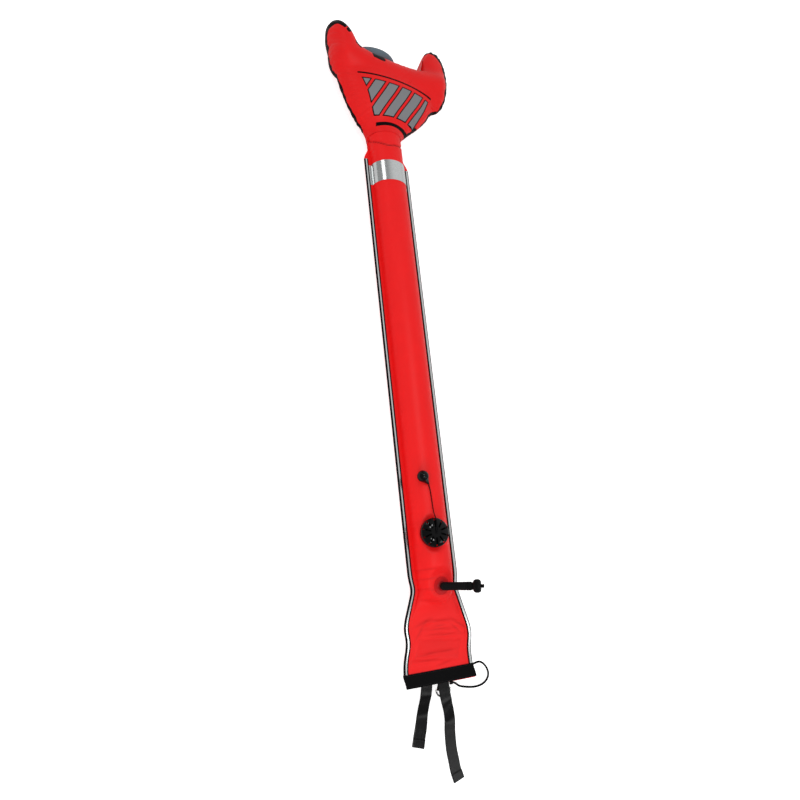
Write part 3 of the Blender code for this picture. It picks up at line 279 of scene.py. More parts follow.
def wall(outer: Array, inner: Array, uv: Array, keep: Optional[Array] = None,
         wrap: bool = False) -> Part:
    """Solid between two grids, open where a cell isn't kept.

    Every edge between a kept cell and one that isn't, or the grid's border, gets a face that
    joins the two grids.

    Args:
        outer: Rows by columns by 3.
        inner: As outer.
        uv: Rows by columns by 2, with one more column if the grid wraps.
        keep: Rows less one by cells across, true where there is material.
        wrap: Whether the last column joins the first.

    Returns:
        The part.
    """
    rows, columns = outer.shape[:2]
    index = np.arange(rows * columns).reshape(rows, columns)
    if wrap:
        index = np.concatenate([index, index[:, :1]], axis=1)
    cells = (rows - 1, index.shape[1] - 1)
    keep = np.ones(cells, bool) if keep is None else keep
    r, c = np.nonzero(keep)
    corner_r, corner_c = cell_corners(r, c)
    skin, skin_uv = index[corner_r, corner_c], uv[corner_r, corner_c]
    under = rows * columns
    faces = [skin, skin[:, ::-1] + under]
    uvs = [skin_uv, skin_uv[:, ::-1]]

    border = np.zeros((1, cells[1]), bool)
    padded = np.concatenate([border, keep, border])
    r, c = np.nonzero(padded[1:] != padded[:-1])
    edges = [(r, c, r, c + 1)]
    border = np.zeros((cells[0], 1), bool)
    left, right = (keep[:, -1:], keep[:, :1]) if wrap else (border, border)
    padded = np.concatenate([left, keep, right], axis=1)
    change = padded[:, 1:] != padded[:, :-1]
    r, c = np.nonzero(change[:, :-1] if wrap else change)
    edges.append((r, c, r + 1, c))
    for r0, c0, r1, c1 in edges:
        a, b = index[r0, c0], index[r1, c1]
        faces.append(np.stack([a, b, b + under, a + under], axis=-1))
        uvs.append(np.stack([uv[r0, c0], uv[r1, c1], uv[r1, c1], uv[r0, c0]], axis=1))
    points = np.concatenate([outer.reshape(-1, 3), inner.reshape(-1, 3)])
    return Part(points, np.concatenate(faces), np.concatenate(uvs))


def developed(grid: Array) -> Array:
    """Pattern coordinates of a grid: distance across from its middle and distance along.

    Args:
        grid: Rows by columns by 3.

    Returns:
        Rows by columns by 2.
    """
    across = arc_length(grid, axis=1)
    across = across - across[:, -1:] / 2
    return stacked(across, arc_length(grid[:, grid.shape[1] // 2])[:, None])


def placed(radius: Array, angles: Array, height: Array, place: Matrix) -> Array:
    """Points round a place's Z axis.

    Args:
        radius: Distance from the axis.
        angles: Angle round it.
        height: Distance along it.
        place: Matrix of the axis.

    Returns:
        The points, in the shape that the three arrays share.
    """
    local = stacked(radius * np.cos(angles), radius * np.sin(angles), height)
    matrix = np.array(place)
    return local @ matrix[:3, :3].T + matrix[:3, 3]


def turned(profile: Array, place: Matrix, sides: int = 96,
           flutes: Optional[Callable[[Array, Array], Array]] = None) -> Part:
    """Turn a closed profile of (radius, height) points round an axis.

    Args:
        profile: Outline points; the last joins the first.
        place: Matrix that puts the axis Z in its place.
        sides: Steps round the axis.
        flutes: Gives the radius from the radii and the angles, for a knurled surface.

    Returns:
        The part.
    """
    profile = np.concatenate([profile, profile[:1]])
    angles = np.linspace(0.0, math.tau, sides, endpoint=False)
    radius = np.repeat(profile[:, :1], sides, axis=1)
    if flutes is not None:
        radius = flutes(radius, angles[None])
    around = np.linspace(0.0, math.tau, sides + 1) * profile[:, 0].max()
    return surface(placed(radius, angles, profile[:, 1:], place),
                   stacked(around[None], arc_length(profile)[:, None]))


def swept(path: Array, radius: Array, guide: Sequence[float], sides: int = 16,
          closed: bool = False) -> Part:
    """Round tube along a path, its ends shrunk to a point.

    The frame at each point is the tangent, its cross product with the guide and the third
    direction square to both.

    Args:
        path: Points along the middle.
        radius: One radius, or one for each point.
        guide: A direction that the path never follows.
        sides: Points round the tube.
        closed: Whether the path comes back to its start.

    Returns:
        The part.
    """
    ahead = np.roll(path, -1, axis=0) if closed else np.concatenate([path[1:], path[-1:]])
    behind = np.roll(path, 1, axis=0) if closed else np.concatenate([path[:1], path[:-1]])
    tangent = unit(ahead - behind)
    across = unit(np.cross(tangent, guide))
    up = np.cross(across, tangent)
    radius = np.broadcast_to(radius, len(path))[:, None, None]
    angles = np.linspace(0.0, math.tau, sides, endpoint=False)[None, :, None]
    rings = path[:, None] + radius * (across[:, None] * np.cos(angles)
                                      + up[:, None] * np.sin(angles))
    if closed:
        rings = np.concatenate([rings, rings[:1]])
    else:
        tips = np.repeat(path[[0, -1]][:, None], sides, axis=1)
        rings = np.concatenate([tips[:1], rings, tips[1:]])
    around = np.linspace(0.0, math.tau, sides + 1) * float(radius.max())
    return surface(rings, stacked(around[None], arc_length(rings[:, 0])[:, None]))


def stitches(middles: Array, along: Array, up: Array, length: float, thread: float) -> Part:
    """Short rounded threads that lie on a surface.

    Each is a tube of six sides whose radius is 0, 3/4, 1, 3/4 and 0 of the thread's at its
    five stations.

    Args:
        middles: Middle of each stitch.
        along: Direction of each stitch.
        up: Direction away from the cloth.
        length: Length of a stitch.
        thread: Radius of the thread.

    Returns:
        One part with every stitch.
    """
    side = np.cross(along, up)
    steps = np.array([-0.5, -0.42, 0.0, 0.42, 0.5])
    swell = np.array([0.0, 0.75, 1.0, 0.75, 0.0]) * thread
    angles = np.linspace(0.0, math.tau, 6, endpoint=False)[:, None]
    rings = side[:, None] * np.cos(angles) + up[:, None] * np.sin(angles)
    points = (middles[:, None, None] + length * steps[:, None, None] * along[:, None, None]
              + swell[:, None, None] * rings[:, None])
    one = surface(points[0], np.zeros((len(steps), len(angles) + 1, 2)))
    starts = np.arange(len(middles))[:, None, None] * len(one.points)
    return Part(points.reshape(-1, 3), (one.faces[None] + starts).reshape(-1, 4),
                np.tile(one.uv, (len(middles), 1, 1)))


def mesh_of(name: str, part: Part, mark: Optional[Array] = None, sharp: float = 38.0,
            turn_out: bool = True) -> bpy.types.Mesh:
    """Put a part into a mesh: doubles merged, faces outwards, smooth up to sharp edges.

    Args:
        name: Name of the mesh.
        part: Points, faces and pattern corners.
        mark: A value for each point, kept as the attribute that some finishes read.
        sharp: Angle in degrees from which an edge is sharp.
        turn_out: Whether the faces are turned outwards.

    Returns:
        The mesh.
    """
    mesh = bpy.data.meshes.new(name)
    mesh.vertices.add(len(part.points))
    mesh.vertices.foreach_set("co", part.points.astype(np.float32).ravel())
    mesh.loops.add(part.faces.size)
    mesh.loops.foreach_set("vertex_index", part.faces.astype(np.int32).ravel())
    mesh.polygons.add(len(part.faces))
    mesh.polygons.foreach_set("loop_start", np.arange(0, part.faces.size, 4, dtype=np.int32))
    mesh.update(calc_edges=True)
    layer = mesh.uv_layers.new(name=UV_NAME)
    layer.uv.foreach_set("vector", part.uv.astype(np.float32).ravel())
    if mark is not None:
        attribute = mesh.attributes.new(MARK_NAME, "FLOAT", "POINT")
        attribute.data.foreach_set("value", mark.astype(np.float32).ravel())
    bm = bmesh.new()
    bm.from_mesh(mesh)
    bmesh.ops.remove_doubles(bm, verts=bm.verts, dist=1e-6)
    bmesh.ops.dissolve_degenerate(bm, edges=bm.edges, dist=1e-7)
    if turn_out:
        bmesh.ops.recalc_face_normals(bm, faces=bm.faces)
    bm.to_mesh(mesh)
    bm.free()
    mesh.shade_smooth()
    mesh.set_sharp_from_angle(angle=math.radians(sharp))
    return mesh


# Finishes


def linear(colour: str, share: float = 1.0) -> tuple:
    """Turn an sRGB hex colour into linear numbers.

    Args:
        colour: The colour as #RRGGBB.
        share: Factor on its linear numbers.

    Returns:
        Red, green, blue and an alpha of 1.
    """
    values = [int(colour[k:k + 2], 16) / 255 for k in (1, 3, 5)]
    low = [v / 12.92 if v <= 0.04045 else ((v + 0.055) / 1.055) ** 2.4 for v in values]
    return (*(v * share for v in low), 1.0)


def add_node(tree: Tree, kind: str, inputs: Optional[dict] = None,
             **settings) -> Node:
    """Add a shader node, set its properties and feed its inputs.

    Args:
        tree: Node tree that gets the node.
        kind: Type of the node, without its ShaderNode prefix.
        inputs: Input name or number to a value, or to the socket that feeds it.
        **settings: Properties of the node.

    Returns:
        The node.
    """
    node = tree.nodes.new("ShaderNode" + kind)
    for key, value in settings.items():
        setattr(node, key, value)
    for key, value in (inputs or {}).items():
        if isinstance(value, Socket):
            tree.links.new(value, node.inputs[key])
        else:
            node.inputs[key].default_value = value
    return node


def mixed(tree: Tree, share: Socket, low: object,
          high: object) -> Socket:
    """Colour between two, given as sockets or linear numbers, by a share from 0 to 1."""
    return add_node(tree, "Mix", {0: share, 6: low, 7: high}, data_type="RGBA").outputs[2]


def mark_of(tree: Tree) -> Socket:
    """The mesh's own mark at each point."""
    return add_node(tree, "Attribute", attribute_name=MARK_NAME).outputs["Fac"]


@dataclass(frozen=True)
class Finish:
    """Surface of one real material, in the Principled shader's own values."""

    name: str
    slot: str
    colour: str
    roughness: float
    metallic: float = 0.0
    specular: float = 0.5
    grain_mm: float = 0.5
    shading: tuple = (0.85, 1.1)
    relief_mm: float = 0.02

    def make(self) -> Material:
        """Make the material: even values on the shader's sockets, the rest by dress().

        Returns:
            The material, which the pieces share.
        """
        made = bpy.data.materials.new(self.name)
        made.use_nodes = True
        tree = made.node_tree
        shader = tree.nodes["Principled BSDF"]
        values = {"Base Color": linear(self.colour), "Roughness": self.roughness,
                  "Metallic": self.metallic, "Specular IOR Level": self.specular}
        for key, value in values.items():
            shader.inputs[key].default_value = value
        self.dress(tree, shader)
        made.diffuse_color = linear(self.colour)
        return made

    def dress(self, tree: Tree, shader: Node) -> None:
        """Fine moulded grain as relief and as a slight change of colour.

        Args:
            tree: The material's node tree.
            shader: Its Principled BSDF node.
        """
        grain = self.noise(tree, self.grain_mm, 3.0)
        self.relief(tree, shader, grain)
        self.shade(tree, shader, grain, *self.shading)

    def noise(self, tree: Tree, size_mm: float, detail: float,
              stretch: tuple = (1.0, 1.0, 1.0)) -> Socket:
        """Noise of a real size over Object coordinates.

        Args:
            tree: The material's node tree.
            size_mm: Size of its largest spots.
            detail: How many finer layers it has.
            stretch: Scale along each axis; less than 1 draws it out.

        Returns:
            A socket from 0 to 1.
        """
        place = add_node(tree, "TexCoord").outputs["Object"]
        place = add_node(tree, "Mapping", {"Vector": place, "Scale": stretch})
        spots = add_node(tree, "TexNoise", {"Vector": place.outputs["Vector"],
                                            "Scale": 1000 / size_mm, "Detail": detail})
        return spots.outputs["Fac"]

    def relief(self, tree: Tree, shader: Node,
               height: Socket) -> None:
        """Feed a height from 0 to 1 to the shader's normal, at the finish's real depth.

        Args:
            tree: The material's node tree.
            shader: Its Principled BSDF node.
            height: The pattern's height.
        """
        bump = add_node(tree, "Bump", {"Height": height, "Strength": 1.0,
                                       "Distance": self.relief_mm / 1000})
        tree.links.new(bump.outputs["Normal"], shader.inputs["Normal"])

    def shade(self, tree: Tree, shader: Node,
              amount: Socket, low: float, high: float) -> Socket:
        """Let the colour vary between two shares of itself.

        Args:
            tree: The material's node tree.
            shader: The shader whose colour is fed.
            amount: Socket from 0 to 1.
            low: Share of the colour at 0.
            high: Share of the colour at 1.

        Returns:
            The varied colour's socket.
        """
        varied = mixed(tree, amount, linear(self.colour, low), linear(self.colour, high))
        tree.links.new(varied, shader.inputs["Base Color"])
        return varied


def crossing_waves(tree: Tree, pitch_mm: float, turn: float,
                   across_share: float = 1.0) -> Socket:
    """Height of two sets of threads that cross, on the piece's own pattern coordinates.

    Args:
        tree: The material's node tree.
        pitch_mm: Distance between threads.
        turn: Angle of the threads to the piece's length, in radians.
        across_share: Pitch of the second set as a share of the first.

    Returns:
        A socket from 0 to 1.
    """
    place = add_node(tree, "UVMap", uv_map=UV_NAME).outputs["UV"]
    place = add_node(tree, "Mapping", {"Vector": place, "Rotation": (0.0, 0.0, turn)})
    scale = 1000 / pitch_mm / 20
    heights = []
    for axis, share in (("X", 1.0), ("Y", across_share)):
        wave = add_node(tree, "TexWave", {"Vector": place.outputs["Vector"],
                                          "Scale": scale * math.tau / share,
                                          "Distortion": 0.6, "Detail": 1.0},
                        bands_direction=axis)
        heights.append(wave.outputs["Fac"])
    return add_node(tree, "Math", {0: heights[0], 1: heights[1]},
                    operation="MAXIMUM").outputs[0]


@dataclass(frozen=True)
class CoatedNylon(Finish):
    """Plain-woven nylon, coated with polyurethane: satin, with the threads just showing.

    The real threads lie 0.3 mm apart, too fine to show, so they are drawn at thread_mm.
    """

    thread_mm: float = 1.4
    shading: tuple = (0.93, 1.05)
    mottle_mm: float = 45.0

    def dress(self, tree: Tree, shader: Node) -> None:
        """Weave as relief, and slow changes of colour as on stretched cloth.

        Args:
            tree: The material's node tree.
            shader: Its Principled BSDF node.
        """
        self.relief(tree, shader, crossing_waves(tree, self.thread_mm, 0.0))
        mottle = self.noise(tree, self.mottle_mm, 2.0)
        self.overlay_on(tree, shader, self.shade(tree, shader, mottle, *self.shading))

    def overlay_on(self, tree: Tree, shader: Node,
                 colour: Socket) -> None:
        """Colour laid over the cloth: print on the head, weld tone and painted shade on the
        tube; plain cloth has none.
        """


@dataclass(frozen=True)
class PatchShadedNylon(CoatedNylon):
    """The same cloth, darker where a sheet inside is welded to it, with painted shade along its
    creases.
    """

    weld_and_shade_share: float = 0.93

    def overlay_on(self, tree: Tree, shader: Node,
                 colour: Socket) -> None:
        """Darken by the mesh's own attribute: 1 on the weld, more where shade is painted along
        the creases.

        Args:
            tree: The material's node tree.
            shader: Its Principled BSDF node.
            colour: The bare cloth's colour.
        """
        # The mark holds the weld's own tone plus painted shade in the creases; both darken the
        # colour here.
        share = add_node(tree, "Math", {0: mark_of(tree), 1: self.weld_and_shade_share - 1.0, 2: 1.0},
                         operation="MULTIPLY_ADD").outputs[0]
        darker = add_node(tree, "VectorMath", {0: colour, "Scale": share}, operation="SCALE")
        tree.links.new(darker.outputs[0], shader.inputs["Base Color"])


@dataclass(frozen=True)
class PrintedNylon(CoatedNylon):
    """The same cloth, screen printed with a black edge line and a row of slanted blocks."""

    ink: str = "#120A0B"
    ink_specular: float = 0.04
    film: str = "#808184"
    row_middle: tuple = (0.016, 0.080)
    row_turn: float = math.radians(2.0)
    row_length: float = 0.176
    row_height: float = 0.080
    row_taper: float = 0.42
    block_pitch: float = 0.0350
    block_share: float = 0.66
    slant: float = 0.55
    outline: float = 0.0026
    stripes: tuple = ((0.0550, 0.0022, 0.100), (-0.0600, 0.0042, 0.050))

    def overlay_on(self, tree: Tree, shader: Node,
                 colour: Socket) -> None:
        """Ink where the border attribute is below zero, on two stripes and round each block.

        A block is where the slanted distance to the nearest block's middle line is inside its
        half width and the point is inside the row, whose ends draw in towards its foot.

        Args:
            tree: The material's node tree.
            shader: Its Principled BSDF node.
            colour: The bare cloth's colour.
        """

        def maths(operation: str, *values) -> Socket:
            """One Math node's result."""
            inputs = dict(enumerate(values))
            return add_node(tree, "Math", inputs, operation=operation).outputs[0]

        place = add_node(tree, "UVMap", uv_map=UV_NAME).outputs["UV"]
        centred = add_node(tree, "Mapping", {
            "Vector": place, "Location": (-self.row_middle[0], -self.row_middle[1], 0.0)})
        straight = add_node(tree, "Mapping", {
            "Vector": centred.outputs["Vector"], "Rotation": (0.0, 0.0, -self.row_turn)})
        parts = add_node(tree, "SeparateXYZ", {0: straight.outputs["Vector"]})
        across, up = parts.outputs[0], parts.outputs[1]
        wide, high = maths("ABSOLUTE", across), maths("ABSOLUTE", up)
        slanted = maths("SUBTRACT", across, maths("MULTIPLY", up, self.slant))
        cell = maths("PINGPONG", slanted, self.block_pitch / 2)
        beside = maths("SUBTRACT", self.block_pitch * self.block_share / 2, cell)
        above = maths("SUBTRACT", self.row_height / 2, high)
        drawn_in = maths("MULTIPLY_ADD", up, self.row_taper,
                         (self.row_length - self.row_taper * self.row_height) / 2)
        inside = maths("MINIMUM", maths("MINIMUM", beside, above),
                       maths("SUBTRACT", drawn_in, wide))
        inked = maths("MAXIMUM", maths("GREATER_THAN", inside, -self.outline),
                      maths("LESS_THAN", mark_of(tree), 0.0))
        for level, half, reach in self.stripes:
            off = maths("ABSOLUTE", maths("SUBTRACT", up, level))
            on_stripe = maths("MULTIPLY", maths("LESS_THAN", off, half),
                              maths("LESS_THAN", wide, reach))
            inked = maths("MAXIMUM", inked, on_stripe)
        dark = mixed(tree, inked, colour, linear(self.ink))
        done = mixed(tree, maths("GREATER_THAN", inside, 0.0), dark, linear(self.film))
        tree.links.new(done, shader.inputs["Base Color"])
        duller = maths("MULTIPLY_ADD", inked, self.ink_specular - self.specular, self.specular)
        tree.links.new(duller, shader.inputs["Specular IOR Level"])


@dataclass(frozen=True)
class Webbing(Finish):
    """Woven polyester webbing: matt, with ribs across it that catch the light."""

    rib_mm: float = 1.6
    shading: tuple = (0.6, 1.35)

    def dress(self, tree: Tree, shader: Node) -> None:
        """Ribs and warp threads as relief and as a slight change of colour.

        Args:
            tree: The material's node tree.
            shader: Its Principled BSDF node.
        """
        weave = crossing_waves(tree, self.rib_mm, 0.0, 0.8)
        self.relief(tree, shader, weave)
        self.shade(tree, shader, weave, *self.shading)


@dataclass(frozen=True)
class BeadTape(Finish):
    """Retroreflective tape of glass beads on aluminium: silver, bright in a narrow streak."""

    cell_mm: float = 3.0
    shading: tuple = (1.03, 0.93)

    def dress(self, tree: Tree, shader: Node) -> None:
        """Faint cells of the bead layer and a fine sparkle.

        Args:
            tree: The material's node tree.
            shader: Its Principled BSDF node.
        """
        place = add_node(tree, "TexCoord").outputs["Object"]
        cells = add_node(tree, "TexVoronoi", {"Vector": place, "Scale": 1000 / self.cell_mm})
        self.relief(tree, shader, cells.outputs["Distance"])
        self.shade(tree, shader, cells.outputs["Distance"], *self.shading)


@dataclass(frozen=True)
class Braid(Finish):
    """Braided cord: matt, with strands that cross on a slant."""

    strand_mm: float = 1.0
    shading: tuple = (0.55, 1.4)

    def dress(self, tree: Tree, shader: Node) -> None:
        """Slanted crossing strands as relief and as a change of colour.

        Args:
            tree: The material's node tree.
            shader: Its Principled BSDF node.
        """
        weave = crossing_waves(tree, self.strand_mm, math.radians(40.0))
        self.relief(tree, shader, weave)
        self.shade(tree, shader, weave, *self.shading)


@dataclass(frozen=True)
class ClearPolyurethane(Finish):
    """Clear red polyurethane, moulded: deeper red where more of it lies over the cloth, and
    painted shade round the hose's foot.
    """

    clearness: float = 0.03
    deep: str = "#7E0F13"

    def dress(self, tree: Tree, shader: Node) -> None:
        """Deeper colour by the mesh's mark, which stands for thicker polyurethane and for
        painted shade round the hose's foot; some light passes.

        Args:
            tree: The material's node tree.
            shader: Its Principled BSDF node.
        """
        self.relief(tree, shader, self.noise(tree, self.grain_mm, 3.0))
        shader.inputs["Transmission Weight"].default_value = self.clearness
        colour = mixed(tree, mark_of(tree), linear(self.colour), linear(self.deep))
        tree.links.new(colour, shader.inputs["Base Color"])


@dataclass(frozen=True)
class BrushedSteel(Finish):
    """Stainless steel wire, drawn and polished: fine lines along it."""

    def dress(self, tree: Tree, shader: Node) -> None:
        """Noise drawn out along X as fine relief."""
        self.relief(tree, shader, self.noise(tree, self.grain_mm, 2.0, (0.08, 1.0, 1.0)))


@dataclass(frozen=True)
class Finishes:
    """Every finish on the buoy, each made into one material."""

    red: Material
    printed: Material
    slate: Material
    inner: Material
    webbing: Material
    strap: Material
    tape: Material
    moulding: Material
    gloss: Material
    rubber: Material
    clear_red: Material
    steel: Material
    cord: Material
    thread: Material


RED = "#F01617"


def make_finishes() -> Finishes:
    """Make the materials of every finish.

    Returns:
        The materials, by finish.
    """
    kinds = {
        # Polyurethane coating gives the cloth a satin sheen, broad and soft; shade is painted
        # along its creases
        "red": PatchShadedNylon("coated_nylon_red", "red_cloth", RED, 0.42, specular=0.16,
                            relief_mm=0.05),
        # The same cloth under screen ink, a little duller where it is printed
        "printed": PrintedNylon("coated_nylon_printed", "red_cloth", "#E81516", 0.42,
                                specular=0.15, relief_mm=0.05),
        # Slate cloth of the dome: darker, with the same satin sheen
        "slate": CoatedNylon("coated_nylon_slate", "grey_cloth", "#61707A", 0.45,
                             specular=0.2, relief_mm=0.05),
        # Thinner cloth of the baffles, coated on both sides
        "inner": CoatedNylon("coated_nylon_inner", "inner_cloth", "#C81C1E", 0.5,
                             specular=0.3, relief_mm=0.04),
        # Ribs across the webbing catch light in fine lines, otherwise it is matt and black
        "webbing": Webbing("polyester_webbing", "webbing", "#0C0C0D", 0.60, specular=0.03,
                           relief_mm=0.12),
        # Smoother, calendered webbing of the straps: grey gleam where it lies to the light
        "strap": Webbing("calendered_webbing", "webbing", "#060607", 0.26, specular=0.20,
                         relief_mm=0.03),
        # Glass beads on aluminium: even grey, white where a lamp is mirrored
        "tape": BeadTape("glass_bead_tape", "reflective", "#D6D9D9", 0.17, 0.85,
                         relief_mm=0.0015),
        # Moulded polyamide: black with a low sheen and fine grain
        "moulding": Finish("moulded_polyamide", "moulding", "#0E0E0F", 0.38, specular=0.08),
        # Moulded acetal: deep black with sharp glints
        "gloss": Finish("moulded_acetal", "gloss_moulding", "#060607", 0.09, specular=0.22,
                        relief_mm=0.002, grain_mm=2.0),
        # Moulded rubber: black, softer and more even than the plastics
        "rubber": Finish("moulded_rubber", "rubber", "#121112", 0.5, specular=0.07,
                         relief_mm=0.03),
        # Clear red polyurethane: dark red, with the cloth glowing through
        "clear_red": ClearPolyurethane("clear_polyurethane_red", "clear_red", "#C9161A", 0.3,
                                       specular=0.06, relief_mm=0.005),
        # Polished stainless wire: mirrors the room in long streaks
        "steel": BrushedSteel("stainless_steel", "steel", "#B9B9B7", 0.16, 1.0,
                              grain_mm=0.4, relief_mm=0.004),
        # Braided polyester: matt black with strands that cross on a slant
        "cord": Braid("braided_cord", "cord", "#0B0B0C", 0.7, specular=0.03,
                      relief_mm=0.1),
        # Bonded polyester thread: black with a slight gleam on each stitch
        "thread": Finish("bonded_thread", "webbing", "#1C1C1E", 0.4, specular=0.2,
                         grain_mm=0.3),
    }
    made = {}
    for key, finish in kinds.items():
        made[key] = finish.make()
        made[key]["slot"] = finish.slot
    return Finishes(**made)


def linked(name: str, data: bpy.types.ID) -> bpy.types.Object:
    """New object in the scene.

    Args:
        name: Name of the object.
        data: What it shows.

    Returns:
        The object.
    """
    obj = bpy.data.objects.new(name, data)
    bpy.context.scene.collection.objects.link(obj)
    return obj


@dataclass
class Assembly:
    """Pieces that are made and dressed together."""

    finishes: Finishes

    def add(self, name: str, part: Part, finish: Material, body: Body,
            replaces: Sequence[str] = (), **options) -> bpy.types.Object:
        """Make one piece, let it ride on its body and hide the CAD nodes that it stands for.

        Args:
            name: Name of the piece.
            part: Its arrays.
            finish: Its material, which also names the record's slot.
            body: The body it moves with.
            replaces: CAD nodes that it stands for.
            **options: Passed to mesh_of.

        Returns:
            The piece's object.
        """
        mesh = mesh_of(name, part, **options)
        mesh.materials.append(finish)
        obj = linked(name, mesh)
        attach(obj, body.value)
        if replaces:
            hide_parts(*replaces)
        LOG.info("%s: %d faces on %s", name, len(mesh.polygons), body.value)
        return obj


# Shape of the tube


@dataclass(frozen=True)
class Crease:
    """Soft fold in the front cloth, drawn in by its depth, or raised where that is negative."""

    x: float
    y: float
    turn: float
    length: float
    width: float
    depth: float

    def ridge(self, x: Array, y: Array, shift: float = 0.0, spread: float = 1.0) -> Array:
        """1 on the fold's middle line and 0 away from it, a Gaussian along and across it.

        Args:
            x: Distance from the tube's own middle line.
            y: Station along the tube.
            shift: How far the line is moved across the fold, in widths.
            spread: Width of the Gaussian across the fold, in widths.

        Returns:
            The share at each point.
        """
        along, over = rotated(x - self.x, y - self.y, self.turn)
        over = (over - shift * self.width) / (spread * self.width)
        return np.exp(-over ** 2 - (along / self.length) ** 2)


@dataclass(frozen=True)
class TubeShape:
    """Shape of the inflated tube and of its pressed-flat end, as widths and heights along Y."""

    cloth: float = 0.0007
    half_width_round: float = 0.040
    half_height_round: float = 0.038
    mid_z: float = 0.037
    hem_y: float = -0.520
    neck_y: float = 0.675
    flap_top_y: float = 0.606
    flap_width: float = 0.016
    neck_flap_width: float = 0.003
    neck_flap_y: float = 0.640
    left_flap_rise: float = 0.010
    flat_half_width: float = 0.0580
    hem_half_width: float = 0.0610
    mouth_half_gap: float = 0.0015
    widen: tuple = (-0.345, -0.425)
    hem_widen_y: float = -0.450
    sink: tuple = (-0.285, -0.410)
    droop: tuple = (-0.320, -0.500)
    hem_mid_z: float = 0.020
    hem_height: float = 0.0254
    pucker: tuple = (-0.342, 0.0035, 0.016)
    bow: tuple = (-0.438, 0.0060, 0.024)
    hem_sway: float = 0.0045
    arch_columns: int = 52
    flap_columns: int = 4
    weld_ripple: float = 0.0011
    ripple_pitch: float = 0.013
    ripple_reach: float = 0.007
    ripple_least: float = 0.35
    ripple_heights: tuple = (0.003, 0.030)
    calm_y: tuple = (0.530, 0.545, 0.604, 0.620)
    patch_middle: tuple = (-0.0017, -0.457)
    patch_half: tuple = (0.0486, 0.0161)
    patch_turn: float = -0.133
    patch_edge: float = 0.001
    patch_rise: float = 0.0008
    patch_frame: float = 0.0045
    neck_crease: tuple = (0.6400, 0.03, 0.0026, 0.0018)
    neck_hang: float = 0.69
    neck_wobble: tuple = (0.0012, 0.0065)
    # neck_shade: strength of the shade painted along the neck's crease
    neck_shade: float = 8.0
    crease_scale: float = 1.3
    # crease_shade: strength, shift and spread of the shade painted beside each crease
    crease_shade: tuple = (2.6, 0.8, 0.7)
    creases: tuple = (
        Crease(-0.030, -0.408, 0.30, 0.020, 0.0036, -0.0015),
        Crease(0.006, -0.408, -0.05, 0.028, 0.0034, -0.0017),
        Crease(0.050, -0.421, -0.62, 0.020, 0.0034, -0.0017),
        Crease(-0.040, -0.423, 0.85, 0.018, 0.0030, -0.0012),
        Crease(0.002, -0.416, -0.03, 0.014, 0.0024, -0.0010),
        Crease(0.005, -0.4235, -0.07, 0.030, 0.0026, -0.0013),
        Crease(0.007, -0.4340, -0.08, 0.036, 0.0026, -0.0013),
        Crease(0.036, -0.424, -0.81, 0.011, 0.0026, -0.0012),
        Crease(0.015, -0.4655, 0.00, 0.020, 0.0030, -0.0012),
        Crease(-0.022, -0.4660, 0.10, 0.018, 0.0030, -0.0010),
        Crease(-0.026, -0.4775, -0.07, 0.034, 0.0030, -0.0013),
        Crease(0.012, -0.4870, 0.16, 0.016, 0.0026, -0.0010),
        Crease(-0.018, -0.368, -0.20, 0.024, 0.0030, 0.0010),
        Crease(-0.022, -0.347, -0.12, 0.026, 0.0028, 0.0012),
        Crease(-0.024, -0.327, -0.05, 0.024, 0.0028, 0.0011),
        Crease(-0.026, -0.309, 0.06, 0.020, 0.0028, 0.0009),
        Crease(0.004, -0.357, -0.04, 0.020, 0.0030, 0.0007),
    )

    def half_width(self, y: Array) -> Array:
        """Half the width between the side welds.

        Args:
            y: Places along the tube.

        Returns:
            The half widths there.
        """
        wide = self.half_width_round
        wide = wide + (self.flat_half_width - wide) * between(y, *self.widen)
        more = self.hem_half_width - self.flat_half_width
        wide = wide + more * between(y, self.hem_widen_y, self.hem_y + self.hem_height)
        middle, depth, length = self.pucker
        return wide - depth * np.exp(-((y - middle) / length) ** 2)

    def sway(self, y: Array) -> Array:
        """Sideways drift of the limp flat end from the axis.

        Args:
            y: Places along the tube.

        Returns:
            The drift there, in metres.
        """
        middle, depth, length = self.bow
        bow = depth * np.exp(-((y - middle) / length) ** 2)
        return bow + self.hem_sway * between(y, self.hem_y + self.hem_height, self.hem_y)

    def half_height(self, y: Array) -> Array:
        """Half the outer height of the tube.

        Args:
            y: Places along the tube.

        Returns:
            The half heights there.
        """
        flat = self.mouth_half_gap + self.cloth + GAP / 2
        tall = self.half_height_round
        return tall - (tall - flat) * between(y, *self.sink)

    def mid_height(self, y: Array) -> Array:
        """Height of the seam plane above the ground."""
        return self.mid_z - (self.mid_z - self.hem_mid_z) * between(y, *self.droop)

    def edge_x(self, y: Array, sign: int) -> Array:
        """Distance of the cut edge from the axis.

        Args:
            y: Stations along the tube.
            sign: The right (+1) or left (-1) edge.

        Returns:
            The distance at each station.
        """
        rise = self.left_flap_rise if sign < 0 else 0.0
        taper = between(y - rise, self.flap_top_y, self.neck_flap_y)
        return (self.half_width(y) + self.flap_width
                - (self.flap_width - self.neck_flap_width) * taper)

